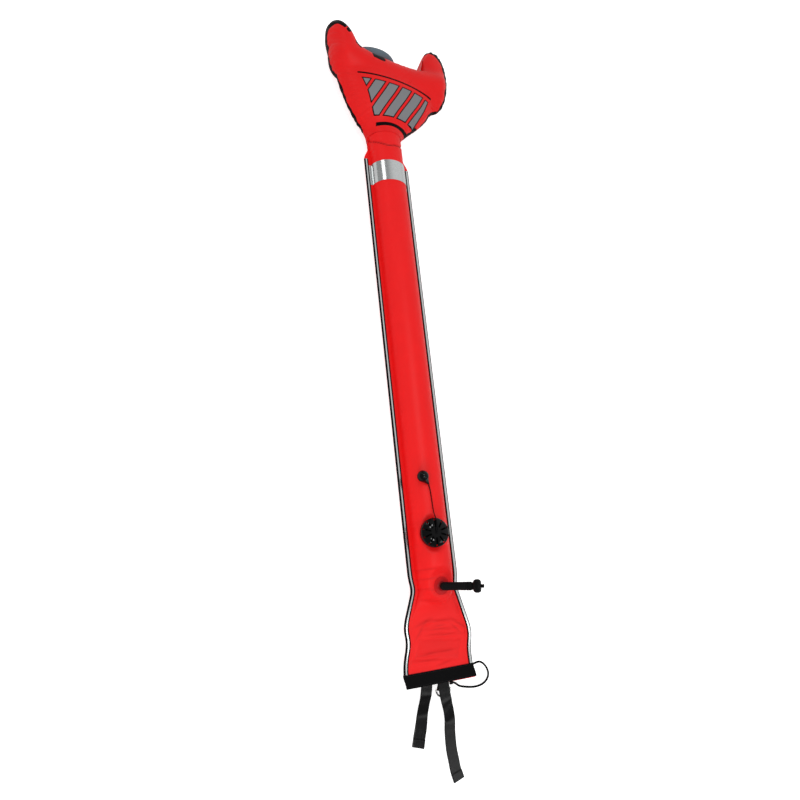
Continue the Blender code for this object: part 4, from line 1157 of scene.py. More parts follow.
    def grid(self, y: Array, offset: float, side: Side,
             reach: Optional[Callable[[Array, int], Array]] = None,
             folds: bool = True) -> Array:
        """Points on one panel, the offset being measured out from its inner face.

        Across, it is flat from the cut edge to the weld, half an ellipse and flat again.

        Args:
            y: Stations along the tube.
            offset: Distance out from the panel's inner face.
            side: Front or back.
            reach: Distance of the left (-1) or right (+1) edge, if it isn't the cut edge.
            folds: Whether the cloth's ripples and creases are in it.

        Returns:
            Stations by columns by 3.
        """
        a = self.half_width(y)[:, None]
        c = self.half_height(y)[:, None] - self.cloth - GAP / 2
        ends = [(reach or self.edge_x)(y, sign)[:, None] for sign in (-1, 1)]
        angle = np.linspace(np.pi, 0.0, self.arch_columns + 1)[None]
        share = np.linspace(0.0, 1.0, self.flap_columns + 1)[None, :-1]
        left, right = (edge - (edge - a - offset) * share for edge in ends)
        inward = np.zeros_like(a * angle)
        if folds:
            inward = self.folds(y[:, None], a * np.cos(angle), a, c, angle, side)
        size = np.sqrt((np.cos(angle) / a) ** 2 + (np.sin(angle) / c) ** 2)
        x = (a + offset) * np.cos(angle) - inward * np.cos(angle) / a / size
        z = c * np.sin(angle) - inward * np.sin(angle) / c / size
        x = np.concatenate([-left, x, right[:, ::-1]], axis=1)
        z = np.concatenate([0.0 * left, z, 0.0 * left], axis=1) + GAP / 2 + offset
        height = self.mid_height(y)[:, None] + side.value * z
        return stacked(self.sway(y)[:, None] + x, y[:, None], height)

    def folds(self, y: Array, x: Array, a: Array, c: Array, angle: Array,
              side: Side) -> Array:
        """How far the cloth is drawn in at each point.

        Args:
            y: Station along the tube.
            x: Distance from the tube's own middle line.
            a: Half width at the station.
            c: Half height at the station.
            angle: Angle round the half ellipse, 0 at the right weld.
            side: Front or back; the back has only the ripples and the neck's crease.

        Returns:
            The depth, which is negative where the cloth is raised.
        """
        from_weld = np.minimum(angle, np.pi - angle) * np.maximum(c, 0.3 * a)
        near = from_weld / self.ripple_reach
        envelope = near * np.exp(1.0 - near)
        seeds = (11, 12) if side is Side.FRONT else (13, 14)
        wave = np.where(angle > np.pi / 2, ripples(y, self.ripple_pitch, seeds[0]),
                        ripples(y, self.ripple_pitch, seeds[1]))
        least = self.ripple_least
        swell = least + (1.0 - least) * between(c, *self.ripple_heights)
        start, calmed, leave, end = self.calm_y
        calm = 1.0 - between(y, start, calmed) * (1.0 - between(y, leave, end))
        inward = self.weld_ripple * wave * envelope * swell * calm
        inward = inward + self.neck_crease[2] * self.neck_line(x, y)
        if side is Side.BACK:
            return inward
        for crease in self.creases:
            inward = inward + self.crease_scale * crease.depth * crease.ridge(x, y)
        inner, outer = self.patch(x, y, 0.0), self.patch(x, y, self.patch_frame)
        return inward + 0.5 * self.patch_rise * (outer - 2.0 * inner)

    def neck_line(self, x: Array, y: Array) -> Array:
        """1 on the wavy crease that runs across the tube below the head, 0 away from it.

        It hangs towards the hem over the top of the tube, by a share of the tube's height.

        Args:
            x: Distance from the tube's own middle line.
            y: Station along the tube.

        Returns:
            The share at each point.
        """
        middle, slope, _, width = self.neck_crease
        across = np.clip(x / self.half_width_round, -1.0, 1.0)
        lift = self.half_height_round * (1.0 - np.sqrt(1.0 - across ** 2))
        off = y - middle - slope * x - self.neck_hang * lift
        height, reach = self.neck_wobble
        off = off - height * np.sin(x / reach)
        return np.exp(-(off / width) ** 2)

    def darker(self, x: Array, y: Array) -> Array:
        """How dark the front cloth is: the weld's own tone plus painted shade along the
        creases.

        Args:
            x: Distance from the tube's own middle line.
            y: Station along the tube.

        Returns:
            1 on the weld, more where shade is painted along the neck's crease and beside each
            crease, and 0 elsewhere.
        """
        mark = self.patch(x, y, 0.0) + self.neck_shade * self.neck_line(x, y)
        depth, shift, spread = self.crease_shade
        for crease in self.creases:
            mark = mark + depth * crease.ridge(x, y, shift, spread)
        return mark

    def patch(self, x: Array, y: Array, margin: float) -> Array:
        """Share of each point that lies in the welded rectangle.

        Args:
            x: Distance from the tube's own middle line.
            y: Station along the tube.
            margin: How far the rectangle is grown on every side.

        Returns:
            1 inside it and 0 outside, with a soft edge.
        """
        along, over = rotated(x - self.patch_middle[0], y - self.patch_middle[1],
                              self.patch_turn)
        past = np.maximum(np.abs(along) - self.patch_half[0], np.abs(over) - self.patch_half[1])
        return between(past, margin + self.patch_edge, margin - self.patch_edge)


@dataclass(frozen=True)
class Seat:
    """Flat round place pressed into the tube's front for a welded fitting."""

    origin: Vector
    normal: Vector
    radius: float
    blend: float
    hole: float

    def flatten(self, grid: Array, depth: float) -> Array:
        """Press the points near the fitting into its plane.

        Args:
            grid: Rows by columns by 3.
            depth: Distance of the plane under the cloth's outer face.

        Returns:
            The pressed grid.
        """
        normal = np.array(self.normal)
        offset = grid - np.array(self.origin - self.normal * depth)
        height = offset @ normal
        spread = np.linalg.norm(offset - height[..., None] * normal, axis=-1)
        weight = 1.0 - ease((spread - self.radius) / (self.blend - self.radius))
        return grid - (height * weight)[..., None] * normal

    def open_hole(self, outer: Array, inner: Array, keep: Array) -> None:
        """Drop the cells inside the hole and bring its rim onto the circle, in place.

        Args:
            outer: Grid of the cloth's outer face.
            inner: Grid of its inner face.
            keep: Which cells stay.
        """
        normal, origin = np.array(self.normal), np.array(self.origin)
        offset = outer - origin
        flat = offset - (offset @ normal)[..., None] * normal
        centre = (flat[1:, 1:] + flat[:-1, 1:] + flat[1:, :-1] + flat[:-1, :-1]) / 4
        near = np.linalg.norm(offset, axis=-1)[1:, 1:] < 3 * self.radius
        gone = (np.linalg.norm(centre, axis=-1) < self.hole) & near
        keep &= ~gone
        around = np.pad(gone, 1).astype(int)
        count = around[1:, 1:] + around[:-1, 1:] + around[1:, :-1] + around[:-1, :-1]
        rim = (count > 0) & (count < 4)
        spread = np.linalg.norm(flat, axis=-1)
        shift = flat[rim] * ((self.hole / spread[rim]) - 1.0)[:, None]
        outer[rim] += shift
        inner[rim] += shift


@dataclass
class Tube(Assembly):
    """Inflated tube: two panels, edge bindings, reflective tape and the inlet baffles."""

    shape: TubeShape = TubeShape()
    station_step: float = 0.0030
    back_lip: float = 0.0014
    back_lip_fade: float = 0.012
    binding_width: float = 0.0086
    binding_wall: float = 0.0007
    binding_step: float = 0.006
    strip_widths: tuple = (0.0031, 0.0043)
    strip_thickness: float = 0.0004
    band_top_y: float = 0.600
    band_height: float = 0.0508
    band_thickness: float = 0.0004
    valve_y: float = -0.239
    valve_tilt: float = math.radians(13.0)
    valve_drop: float = 0.0045
    inflator_x: float = 0.004
    inflator_y: float = -0.340
    inflator_slope: float = math.radians(8.3)
    inflator_drop: float = 0.0010
    baffle_cloth: float = 0.0005
    baffle_length: float = 0.150
    baffle_mouth_half: float = 0.044
    baffle_lip_half: float = 0.030

    def valve_seat(self) -> Seat:
        """Seat of the dump valve, tilted to the left.

        Returns:
            The seat, with its hole for the spigot.
        """
        shape, y = self.shape, np.array([self.valve_y])
        normal = Vector((-math.sin(self.valve_tilt), 0.0, math.cos(self.valve_tilt)))
        origin = Vector((0.0, self.valve_y, float(shape.mid_height(y)[0])))
        origin += normal * (shape.half_height_round - self.valve_drop)
        return Seat(origin, normal, radius=0.027, blend=0.040, hole=0.0183)

    def inflator_seat(self) -> Seat:
        """Seat of the oral inflator, on the slope of the flat end.

        Returns:
            The seat, with its hole for the hose.
        """
        shape, y = self.shape, np.array([self.inflator_y])
        normal = Vector((0.0, -math.sin(self.inflator_slope), math.cos(self.inflator_slope)))
        top = float((shape.mid_height(y) + shape.half_height(y))[0]) - self.inflator_drop
        origin = Vector((self.inflator_x, self.inflator_y, top))
        return Seat(origin, normal, radius=0.0215, blend=0.040, hole=0.0053)

    def build(self) -> None:
        """Make every piece of the tube."""
        self.build_panels()
        self.build_bindings()
        self.build_band()
        self.build_baffles()

    def build_panels(self) -> None:
        """Front and back cloth, each a wall of one cloth's thickness."""
        shape = self.shape
        y = stations(shape.hem_y, shape.neck_y, self.station_step)
        seats = (self.valve_seat(), self.inflator_seat())
        outer, inner = (shape.grid(y, offset, Side.FRONT) for offset in (shape.cloth, 0.0))
        uv = developed(outer)
        keep = np.ones((outer.shape[0] - 1, outer.shape[1] - 1), bool)
        for seat in seats:
            outer = seat.flatten(outer, 0.0)
            inner = seat.flatten(inner, shape.cloth)
        for seat in seats:
            seat.open_hole(outer, inner, keep)
        # mark: weld tone plus painted shade along the creases, read by the red cloth's material
        mark = shape.darker(outer[..., 0] - shape.sway(y)[:, None], outer[..., 1])
        front = self.add("tube_front_cloth", wall(outer, inner, uv, keep), self.finishes.red,
                         Body.BUOY, ["tube_front_panel"], mark=np.tile(mark.ravel(), 2),
                         sharp=60.0)
        self.declare(front, uv)

        y = stations(shape.hem_y - self.back_lip, shape.neck_y, self.station_step)
        outer, inner = (shape.grid(y, offset, Side.BACK) for offset in (shape.cloth, 0.0))
        uv = developed(outer)
        for skin in (outer, inner):
            skin[0, :, 1] += self.back_lip * between(skin[0, :, 0], self.back_lip_fade,
                                                     -self.back_lip_fade)
        outer[..., 2] = np.maximum(outer[..., 2], 0.0)
        inner[..., 2] = np.maximum(inner[..., 2], shape.cloth)
        back = self.add("tube_back_cloth", wall(outer, inner, uv), self.finishes.red,
                        Body.BUOY, ["tube_back_panel"], sharp=60.0)
        self.declare(back, uv)

    def declare(self, obj: bpy.types.Object, uv: Array) -> None:
        """Take a panel and its pattern coordinates and do nothing with them.

        Args:
            obj: The panel; not used.
            uv: Its pattern coordinates, rows by columns by 2; not used.
        """

    def build_bindings(self) -> None:
        """Webbing folded round each cut edge, with reflective tape along its front."""
        shape = self.shape
        slot = GAP / 2 + shape.cloth + GAP
        outside = slot + self.binding_wall
        turn = np.linspace(np.pi / 2, -np.pi / 2, 9)
        tops = (shape.flap_top_y + shape.left_flap_rise, shape.flap_top_y)
        sides = zip(("left", "right"), (-1, 1), tops, self.strip_widths)
        for name, sign, top, width in sides:
            y = stations(shape.hem_y + shape.hem_height + GAP, top, self.binding_step)
            edge = shape.edge_x(y, sign)[:, None]
            skins = []
            for level in (outside, slot):
                straight = np.linspace(-self.binding_width, 0.0, 5)[:-1]
                bulge = GAP + (level - slot)
                x = np.concatenate([straight, bulge * np.cos(turn), straight[::-1]])
                z = np.concatenate([np.full(4, level), level * np.sin(turn),
                                    np.full(4, -level)])
                skins.append(self.along_edge(y, sign * (edge + x), z[None]))
            part = wall(skins[0], skins[1], developed(skins[0]))
            self.add(name + "_edge_webbing", part, self.finishes.webbing, Body.BUOY,
                     [name + "_edge_binding"])

            middle = edge + (GAP + self.binding_wall - self.binding_width) / 2
            half = np.linspace(-0.5, 0.5, 7) * width
            low = outside + GAP
            crown = self.strip_thickness * (1.0 - 0.1 * np.abs(np.linspace(-1, 1, 7)) ** 8)
            top = self.along_edge(y, sign * (middle + half), (low + crown)[None])
            base = self.along_edge(y, sign * (middle + half), np.full((1, 7), low))
            self.add(name + "_edge_tape", wall(top, base, developed(top)), self.finishes.tape,
                     Body.BUOY, [name + "_reflective_strip"])

    def along_edge(self, y: Array, x: Array, z: Array) -> Array:
        """Grid of points beside the cut edge.

        Args:
            y: Stations along the tube.
            x: Distance off the tube's axis.
            z: Height over the seam's plane.

        Returns:
            Stations by columns by 3.
        """
        shape = self.shape
        return stacked(shape.sway(y)[:, None] + x, y[:, None],
                       shape.mid_height(y)[:, None] + z)

    def build_band(self) -> None:
        """Wide reflective band across the front below the head."""
        shape = self.shape
        low = shape.cloth + GAP
        y = np.linspace(self.band_top_y - self.band_height, self.band_top_y, 25)

        def reach(at: Array, sign: int) -> Array:
            """The band stops at the binding's inner edge."""
            return shape.edge_x(at, sign) - self.binding_width - GAP

        outer, inner = (shape.grid(y, low + rise, Side.FRONT, reach, folds=False)
                        for rise in (self.band_thickness, 0.0))
        self.add("wide_reflective_tape", wall(outer, inner, developed(outer)),
                 self.finishes.tape, Body.BUOY, ["top_reflective_band"])

    def build_baffles(self) -> None:
        """Two sheets inside the mouth that press together and keep the air in."""
        shape, thick = self.shape, self.baffle_cloth
        lip_y = shape.hem_y + self.baffle_length
        y = np.linspace(shape.hem_y + GAP, lip_y, 50)[:, None]
        inward = between(y, shape.hem_y + shape.hem_height, lip_y)
        narrowed = (self.baffle_mouth_half - self.baffle_lip_half) * inward
        x = (self.baffle_mouth_half - narrowed) * np.linspace(-1.0, 1.0, 25)
        mouth = shape.mouth_half_gap * np.sqrt(1.0 - (x / shape.hem_half_width) ** 2) - GAP / 2
        height = mouth + (GAP / 2 + thick - mouth) * inward
        for name, side in (("front", Side.FRONT), ("back", Side.BACK)):
            skins = [stacked(x + shape.sway(y), y, shape.mid_height(y) + side.value * level)
                     for level in (height, height - thick)]
            uv = developed(skins[0])
            sheet = self.add(f"inlet_{name}_baffle", wall(skins[0], skins[1], uv),
                             self.finishes.inner, Body.BUOY, [f"inlet_baffle_{name}"])
            self.declare(sheet, uv)


# Shape of the head


@dataclass(frozen=True)
class Oval:
    """Ellipsoid over the head's plane, wider upwards if it tapers."""

    u: float
    v: float
    half_u: float
    half_v: float
    height: float
    turn: float = 0.0
    taper: float = 0.0

    def field(self, u: Array, v: Array) -> Array:
        """Squared height of the ellipsoid.

        Args:
            u: Distance across the head.
            v: Distance up from the neck.

        Returns:
            The value at each point; it is negative outside.
        """
        dv = v - self.v
        across, along = rotated(u - self.u, dv, self.turn)
        half = np.maximum(self.half_u * (1 + self.taper * dv / self.half_v), self.half_u / 8)
        return self.height ** 2 * (1 - (across / half) ** 2 - (along / self.half_v) ** 2)


def first_zero(values: Array, marks: Array) -> Array:
    """Where each row of values first falls below zero, by straight interpolation.

    Args:
        values: Rows by marks.
        marks: Distance of each column.

    Returns:
        One distance for each row.
    """
    index = np.argmax(values < 0.0, axis=-1)
    rows = np.arange(len(values))
    before, after = values[rows, index - 1], values[rows, index]
    return marks[index - 1] + (marks[index] - marks[index - 1]) * before / (before - after)


@dataclass(frozen=True)
class HeadShape:
    """Hammer-shaped pillow: u runs across it and v up from the neck."""

    body: Oval = Oval(0.0028, 0.1058, 0.1176, 0.1149, 0.0477, 0.0, 0.41)
    left: Oval = Oval(-0.1132, 0.2203, 0.0315, 0.0655, 0.0470, math.radians(25.0))
    right: Oval = Oval(0.1345, 0.2180, 0.0398, 0.0925, 0.0340)
    bar_middle: tuple = (0.1697, -0.022, 1.20)
    bar_half_length: float = 0.0440
    bar_height: float = 0.0454
    bar_end: float = 0.030
    centre_v: float = 0.080
    horn: tuple = (0.050, 0.080, 0.120)
    blend: float = 0.0004
    lean: float = math.radians(5.5)
    lean_length: float = 0.100
    mid_z: float = 0.0457
    neck_fade: tuple = (0.030, 0.37)

    def field(self, u: Array, v: Array, tube: TubeShape) -> Array:
        """Squared height of the inflated head above its seam plane; negative outside it.

        An egg for the body, an ellipsoid for each lobe and a capsule for the bar between
        them, joined to the round neck by a maximum whose corner is rounded.

        Args:
            u: Distance across the head.
            v: Distance up from the neck.
            tube: The tube that the neck runs into.

        Returns:
            The value at each point.
        """

        def joined_fields(a: Array, b: Array) -> Array:
            """Larger of two fields, rounded where they meet."""
            return 0.5 * (a + b + np.sqrt((a - b) ** 2 + self.blend ** 2))

        lobes = joined_fields(self.left.field(u, v), self.right.field(u, v))
        past = np.maximum(np.maximum(self.left.u - u, u - self.right.u), 0.0)
        level, slope, bend = self.bar_middle
        rise = (v - level - slope * u - bend * u * u) / self.bar_half_length
        bar = self.bar_height ** 2 * (1 - (past / self.bar_end) ** 2 - rise ** 2)
        neck_half = tube.half_width_round + tube.cloth
        neck = tube.half_height_round ** 2 * (1 - (u / neck_half) ** 2)
        start, fade = self.neck_fade
        neck = neck - fade * np.maximum(v - start, 0.0) ** 2
        body = self.body.field(u, v)
        return joined_fields(joined_fields(body, neck), joined_fields(bar, lobes))

    def place(self, u: Array, v: Array, z: Array, tube: TubeShape) -> Array:
        """Put points of the head's plane in place: raised and leaning to the right.

        Args:
            u: Distance across the head.
            v: Distance up from the neck.
            z: Height over the seam's plane.
            tube: The tube that the head stands on.

        Returns:
            The points.
        """
        angle = self.lean * ease(v / self.lean_length)
        x = u * np.cos(angle) + v * np.sin(angle)
        y = tube.neck_y + GAP + v * np.cos(angle) - u * np.sin(angle)
        middle = tube.mid_z + (self.mid_z - tube.mid_z) * ease(v / self.lean_length)
        return np.stack([x, y, middle + z], axis=-1)

    def point(self, angle: Array, reach: Array) -> tuple:
        """Point at a reach from the centre; rays bend up into the tall right lobe.

        Args:
            angle: Angle of the ray.
            reach: Distance along it.

        Returns:
            Its u and v.
        """
        rise, start, end = self.horn
        u = reach * np.cos(angle)
        return u, self.centre_v + reach * np.sin(angle) + rise * between(u, start, end)


@dataclass
class Pillow:
    """Table of the head's squared height, blurred so that its parts run together."""

    shape: HeadShape
    tube: TubeShape
    corner: tuple = (-0.200, -0.030)
    size: tuple = (0.420, 0.390)
    cell: float = 0.001
    blur: float = 0.0065
    neck_end: float = 0.004
    neck_blend: float = 0.030
    longest_reach: float = 0.36
    reach_marks: int = 721

    def __post_init__(self) -> None:
        """Fill the table: a Gaussian along each axis in turn, none at the neck's opening."""
        u, v = (low + np.arange(0.0, length, self.cell)
                for low, length in zip(self.corner, self.size))
        raw = self.shape.field(u[None], v[:, None], self.tube)
        steps = np.arange(-3.0 * self.blur, 3.0 * self.blur, self.cell)
        weights = np.exp(-0.5 * (steps / self.blur) ** 2)
        shifts = np.rint(steps / self.cell).astype(int)
        soft = raw
        for axis in (0, 1):
            soft = sum(weight * np.roll(soft, shift, axis=axis)
                       for weight, shift in zip(weights / weights.sum(), shifts))
        share = between(v, self.neck_end, self.neck_end + self.neck_blend)[:, None]
        self.table = raw + (soft - raw) * share

    def field(self, u: Array, v: Array) -> Array:
        """Squared height, by straight interpolation in the table.

        Args:
            u: Distance across the head.
            v: Distance up from the neck.

        Returns:
            The value at each point.
        """
        table = self.table
        right = np.clip((u - self.corner[0]) / self.cell, 0.0, table.shape[1] - 1.001)
        up = np.clip((v - self.corner[1]) / self.cell, 0.0, table.shape[0] - 1.001)
        c, r = right.astype(int), up.astype(int)
        s, t = right - c, up - r
        low = table[r, c] * (1.0 - s) + table[r, c + 1] * s
        high = table[r + 1, c] * (1.0 - s) + table[r + 1, c + 1] * s
        return low * (1.0 - t) + high * t

    def height(self, u: Array, v: Array) -> Array:
        """Height of the head's outer face above its seam plane."""
        return np.sqrt(np.maximum(self.field(u, v), 0.0))

    def reach(self, angles: Array) -> Array:
        """Reach from the centre to the outline or to the neck's opening.

        Args:
            angles: Angle of each ray.

        Returns:
            One distance for each ray.
        """
        marks = np.linspace(0.0, self.longest_reach, self.reach_marks)
        u, v = self.shape.point(angles[:, None], marks)
        return first_zero(np.minimum(self.field(u, v), v * self.shape.body.height), marks)


@dataclass
class Head(Assembly):
    """Hammer-shaped head with puckered seam, printed front and grey crown dome."""

    tube: TubeShape = TubeShape()
    shape: HeadShape = HeadShape()
    mouth_sides: int = 24
    sides: int = 420
    rings: int = 46
    pucker_pitch: float = 0.0135
    pucker_fade: float = 0.03
    edge_pitch_ratio: float = 1.4
    pucker_depth: float = 0.0026
    pucker_reach: float = 0.018
    line_width: float = 0.0064
    line_facing: float = 0.12
    line_points: int = 540
    line_waves: tuple = (0.8, 0.4, 0.045)
    line_gap_fade: float = 0.004
    line_away: float = 0.05
    line_bare: float = 0.02
    line_view: tuple = (-0.397, -0.633, 0.666)
    line_start_v: tuple = (0.020, 0.012)
    line_gaps_u: tuple = ((-0.078, -0.050), (-0.018, 0.084))
    line_gaps_v: tuple = (0.130, 0.136)
    blank_uv: float = 5.0
    crown_u: float = -0.0245
    crown_half_width: float = 0.050
    crown_height: float = 0.0190
    crown_half_depth: float = 0.028
    crown_gap: float = 0.0020

    def __post_init__(self) -> None:
        """Work out the pillow's height table."""
        self.pillow = Pillow(self.shape, self.tube)

    def rays(self) -> tuple:
        """Angles that divide the outline evenly, and which of them end at the neck.

        Returns:
            The angles, a mask of the neck's own, and the marks along the outline.
        """
        shape, tube = self.shape, self.tube
        opening = math.atan2(shape.centre_v, tube.half_width_round + tube.cloth)
        mouth = np.linspace(opening - math.pi, -opening, self.mouth_sides)
        around = np.linspace(-opening, math.pi + opening, 1441)
        outline = np.stack(shape.point(around, self.pillow.reach(around)), axis=-1)
        lengths = arc_length(outline)
        marks = np.linspace(0.0, lengths[-1], self.sides + 1)[1:-1]
        angles = np.concatenate([mouth, np.interp(marks, lengths, around)])
        return angles, np.arange(len(angles)) < self.mouth_sides, np.concatenate(
            [np.zeros(self.mouth_sides), marks])

    def build(self) -> None:
        """Make the two panels and the dome."""
        shape, tube, pillow = self.shape, self.tube, self.pillow
        angles, in_mouth, marks = self.rays()
        reach = pillow.reach(angles)
        rings = np.sin(np.linspace(0.0, math.pi / 2, self.rings))[:, None]
        away = (1.0 - rings) * reach
        end, fade = marks.max(), self.pucker_fade
        ends = between(marks, 0.0, fade) * between(marks, end, end - fade)
        panels = {}
        for side, seed in ((Side.FRONT, 21), (Side.BACK, 22)):
            wave = ripples(marks, self.pucker_pitch, seed) * ends
            edge = ripples(marks, self.pucker_pitch * self.edge_pitch_ratio, 23) * ends
            drawn = self.pucker_depth * edge * np.exp(-away / self.pucker_reach)
            skins = []
            for inset in (0.0, tube.cloth):
                height = pillow.height(*shape.point(angles, rings * reach))
                height[-1, ~in_mouth] = 0.0
                height[-1, [0, in_mouth.sum() - 1]] = 0.0
                u, v = shape.point(angles, rings * (reach - inset * ~in_mouth) - drawn * rings)
                height = np.minimum(height, pillow.height(u, v))
                near = away / (0.4 * self.pucker_reach)
                height = height - self.pucker_depth * wave * near * np.exp(1.0 - near)
                height = np.maximum(height - inset, 0.0)
                grid = shape.place(u, v, side.value * (GAP / 2 + height), tube)
                grid[..., 2] = np.maximum(grid[..., 2], inset)
                skins.append(grid)
                if not inset:
                    flat = np.stack([u, v], axis=-1)
            panels[side] = (skins, flat)
        both = np.stack([panels[side][0][0] for side in Side])
        borders = self.border(both, panels[Side.FRONT][1])
        for (side, (skins, flat)), border in zip(panels.items(), borders):
            name = side.name.lower()
            uv = np.concatenate([flat, flat[:, :1]], axis=1)
            if side is Side.BACK:
                uv = uv + self.blank_uv
            part = wall(skins[0], skins[1], uv, wrap=True)
            obj = self.add(f"head_{name}_cloth", part, self.finishes.printed, Body.BUOY,
                           [f"head_{name}_panel"], mark=np.tile(border.ravel(), 2),
                           sharp=60.0)
        self.build_dome()

    def border(self, grid: Array, flat: Array) -> Array:
        """Distance to the printed edge line, less its width: ink is below zero.

        The line lies inside the pillow's outline as it is seen from the front and below: the
        furthest points of both panels in each of many directions from the middle, with the
        puckers evened out. Cloth that faces away is bare, and so are the neck and parts of
        the bar between the lobes.

        Args:
            grid: Points of both panels, panels by rings by columns by 3.
            flat: Rings by columns by 2, the points' places in the head's plane.

        Returns:
            The value for each point of each panel.
        """
        view = unit(np.array(self.line_view))
        across = unit(np.cross(view, (0.0, -0.2, 1.0)))
        smooth = sum(np.roll(grid, step, axis=2) for step in range(-10, 11, 2)) / 11.0
        seen = stacked(smooth @ across, smooth @ np.cross(view, across))
        offset = seen - seen[0, 0, 0]
        count = self.line_points
        turn = (np.arctan2(offset[..., 1], offset[..., 0]) / math.tau % 1.0 * count).astype(int)
        furthest = np.zeros(count)
        np.maximum.at(furthest, turn.ravel() % count, np.linalg.norm(offset, axis=-1).ravel())
        angles = (np.arange(count) + 0.5) * math.tau / count
        distance = np.full(seen.shape[:-1], 1.0)
        for x, y in zip(furthest * np.cos(angles), furthest * np.sin(angles)):
            distance = np.minimum(distance, np.hypot(offset[..., 0] - x, offset[..., 1] - y))
        around = np.roll(smooth, -4, axis=2) - np.roll(smooth, 4, axis=2)
        normal = np.cross(np.gradient(smooth, axis=1), around)
        normal /= np.maximum(np.linalg.norm(normal, axis=-1, keepdims=True), 1e-12)
        normal *= np.sign(normal[:, 1:9, :, 2].sum(axis=(1, 2)))[:, None, None, None]
        normal[1] *= -1.0
        facing = normal @ view
        u, v = flat[..., 0], flat[..., 1]
        bare = between(v, *self.line_start_v)
        for start, end in self.line_gaps_u:
            gap = (between(u, start, start + self.line_gap_fade)
                   * between(u, end, end - self.line_gap_fade))
            bare = np.maximum(bare, gap * between(v, *self.line_gaps_v))
        least, more, pitch = self.line_waves
        width = self.line_width * (least + more * ripples(u + 1.7 * v, pitch, 31))
        away = self.line_away * (-self.line_facing - facing)
        return np.maximum(distance - width, away) + self.line_bare * bare

    def build_dome(self) -> None:
        """Grey dome of cloth that swells out over the seam between the lobes."""
        shape, tube, pillow = self.shape, self.tube, self.pillow
        across = np.sin(np.linspace(-math.pi / 2, math.pi / 2, 61))
        climb = np.linspace(0.2, 0.3, 801)
        swing = np.linspace(math.pi / 2, math.pi, 361)
        skins = []
        for inset in (0.0, tube.cloth):
            u = self.crown_u + across * (self.crown_half_width - inset)
            swell = np.sqrt(np.maximum(0.0, 1.0 - across ** 2))
            top = first_zero(pillow.field(u[:, None], climb[None]), climb)
            up = np.maximum(self.crown_height * swell - inset, 0.0)[:, None]
            deep = np.maximum(self.crown_half_depth * swell - inset, 0.0)[:, None]
            start = (top + self.crown_gap)[:, None]
            wide_u = np.broadcast_to(u[:, None], (len(u), len(swing)))
            outside = deep * np.sin(swing) - pillow.height(wide_u,
                                                           start + up * np.cos(swing))
            free = outside > self.crown_gap
            last = np.where(free[:, 0], np.argmin(free, axis=1) - 1, 0)
            turn = swing[last][:, None] * np.linspace(-1.0, 1.0, 49)[None]
            wide_u = np.broadcast_to(u[:, None], turn.shape)
            skins.append(shape.place(wide_u, start + up * np.cos(turn), deep * np.sin(turn),
                                     tube))
        uv = developed(skins[0])
        self.add("crown_cloth", wall(skins[0], skins[1], uv), self.finishes.slate, Body.BUOY,
                 ["crown_dome"], sharp=60.0)


# Fittings


def axis_frame(origin: Vector, z_axis: Vector, x_axis: Sequence[float]) -> Matrix:
    """Matrix of an axis.

    Args:
        origin: Its origin.
        z_axis: Direction that Z follows.
        x_axis: Direction that X leans towards.

    Returns:
        The matrix.
    """
    z_axis = z_axis.normalized()
    y_axis = z_axis.cross(Vector(x_axis)).normalized()
    x_axis = y_axis.cross(z_axis)
    return Matrix.Translation(origin) @ Matrix((x_axis, y_axis, z_axis)).transposed().to_4x4()


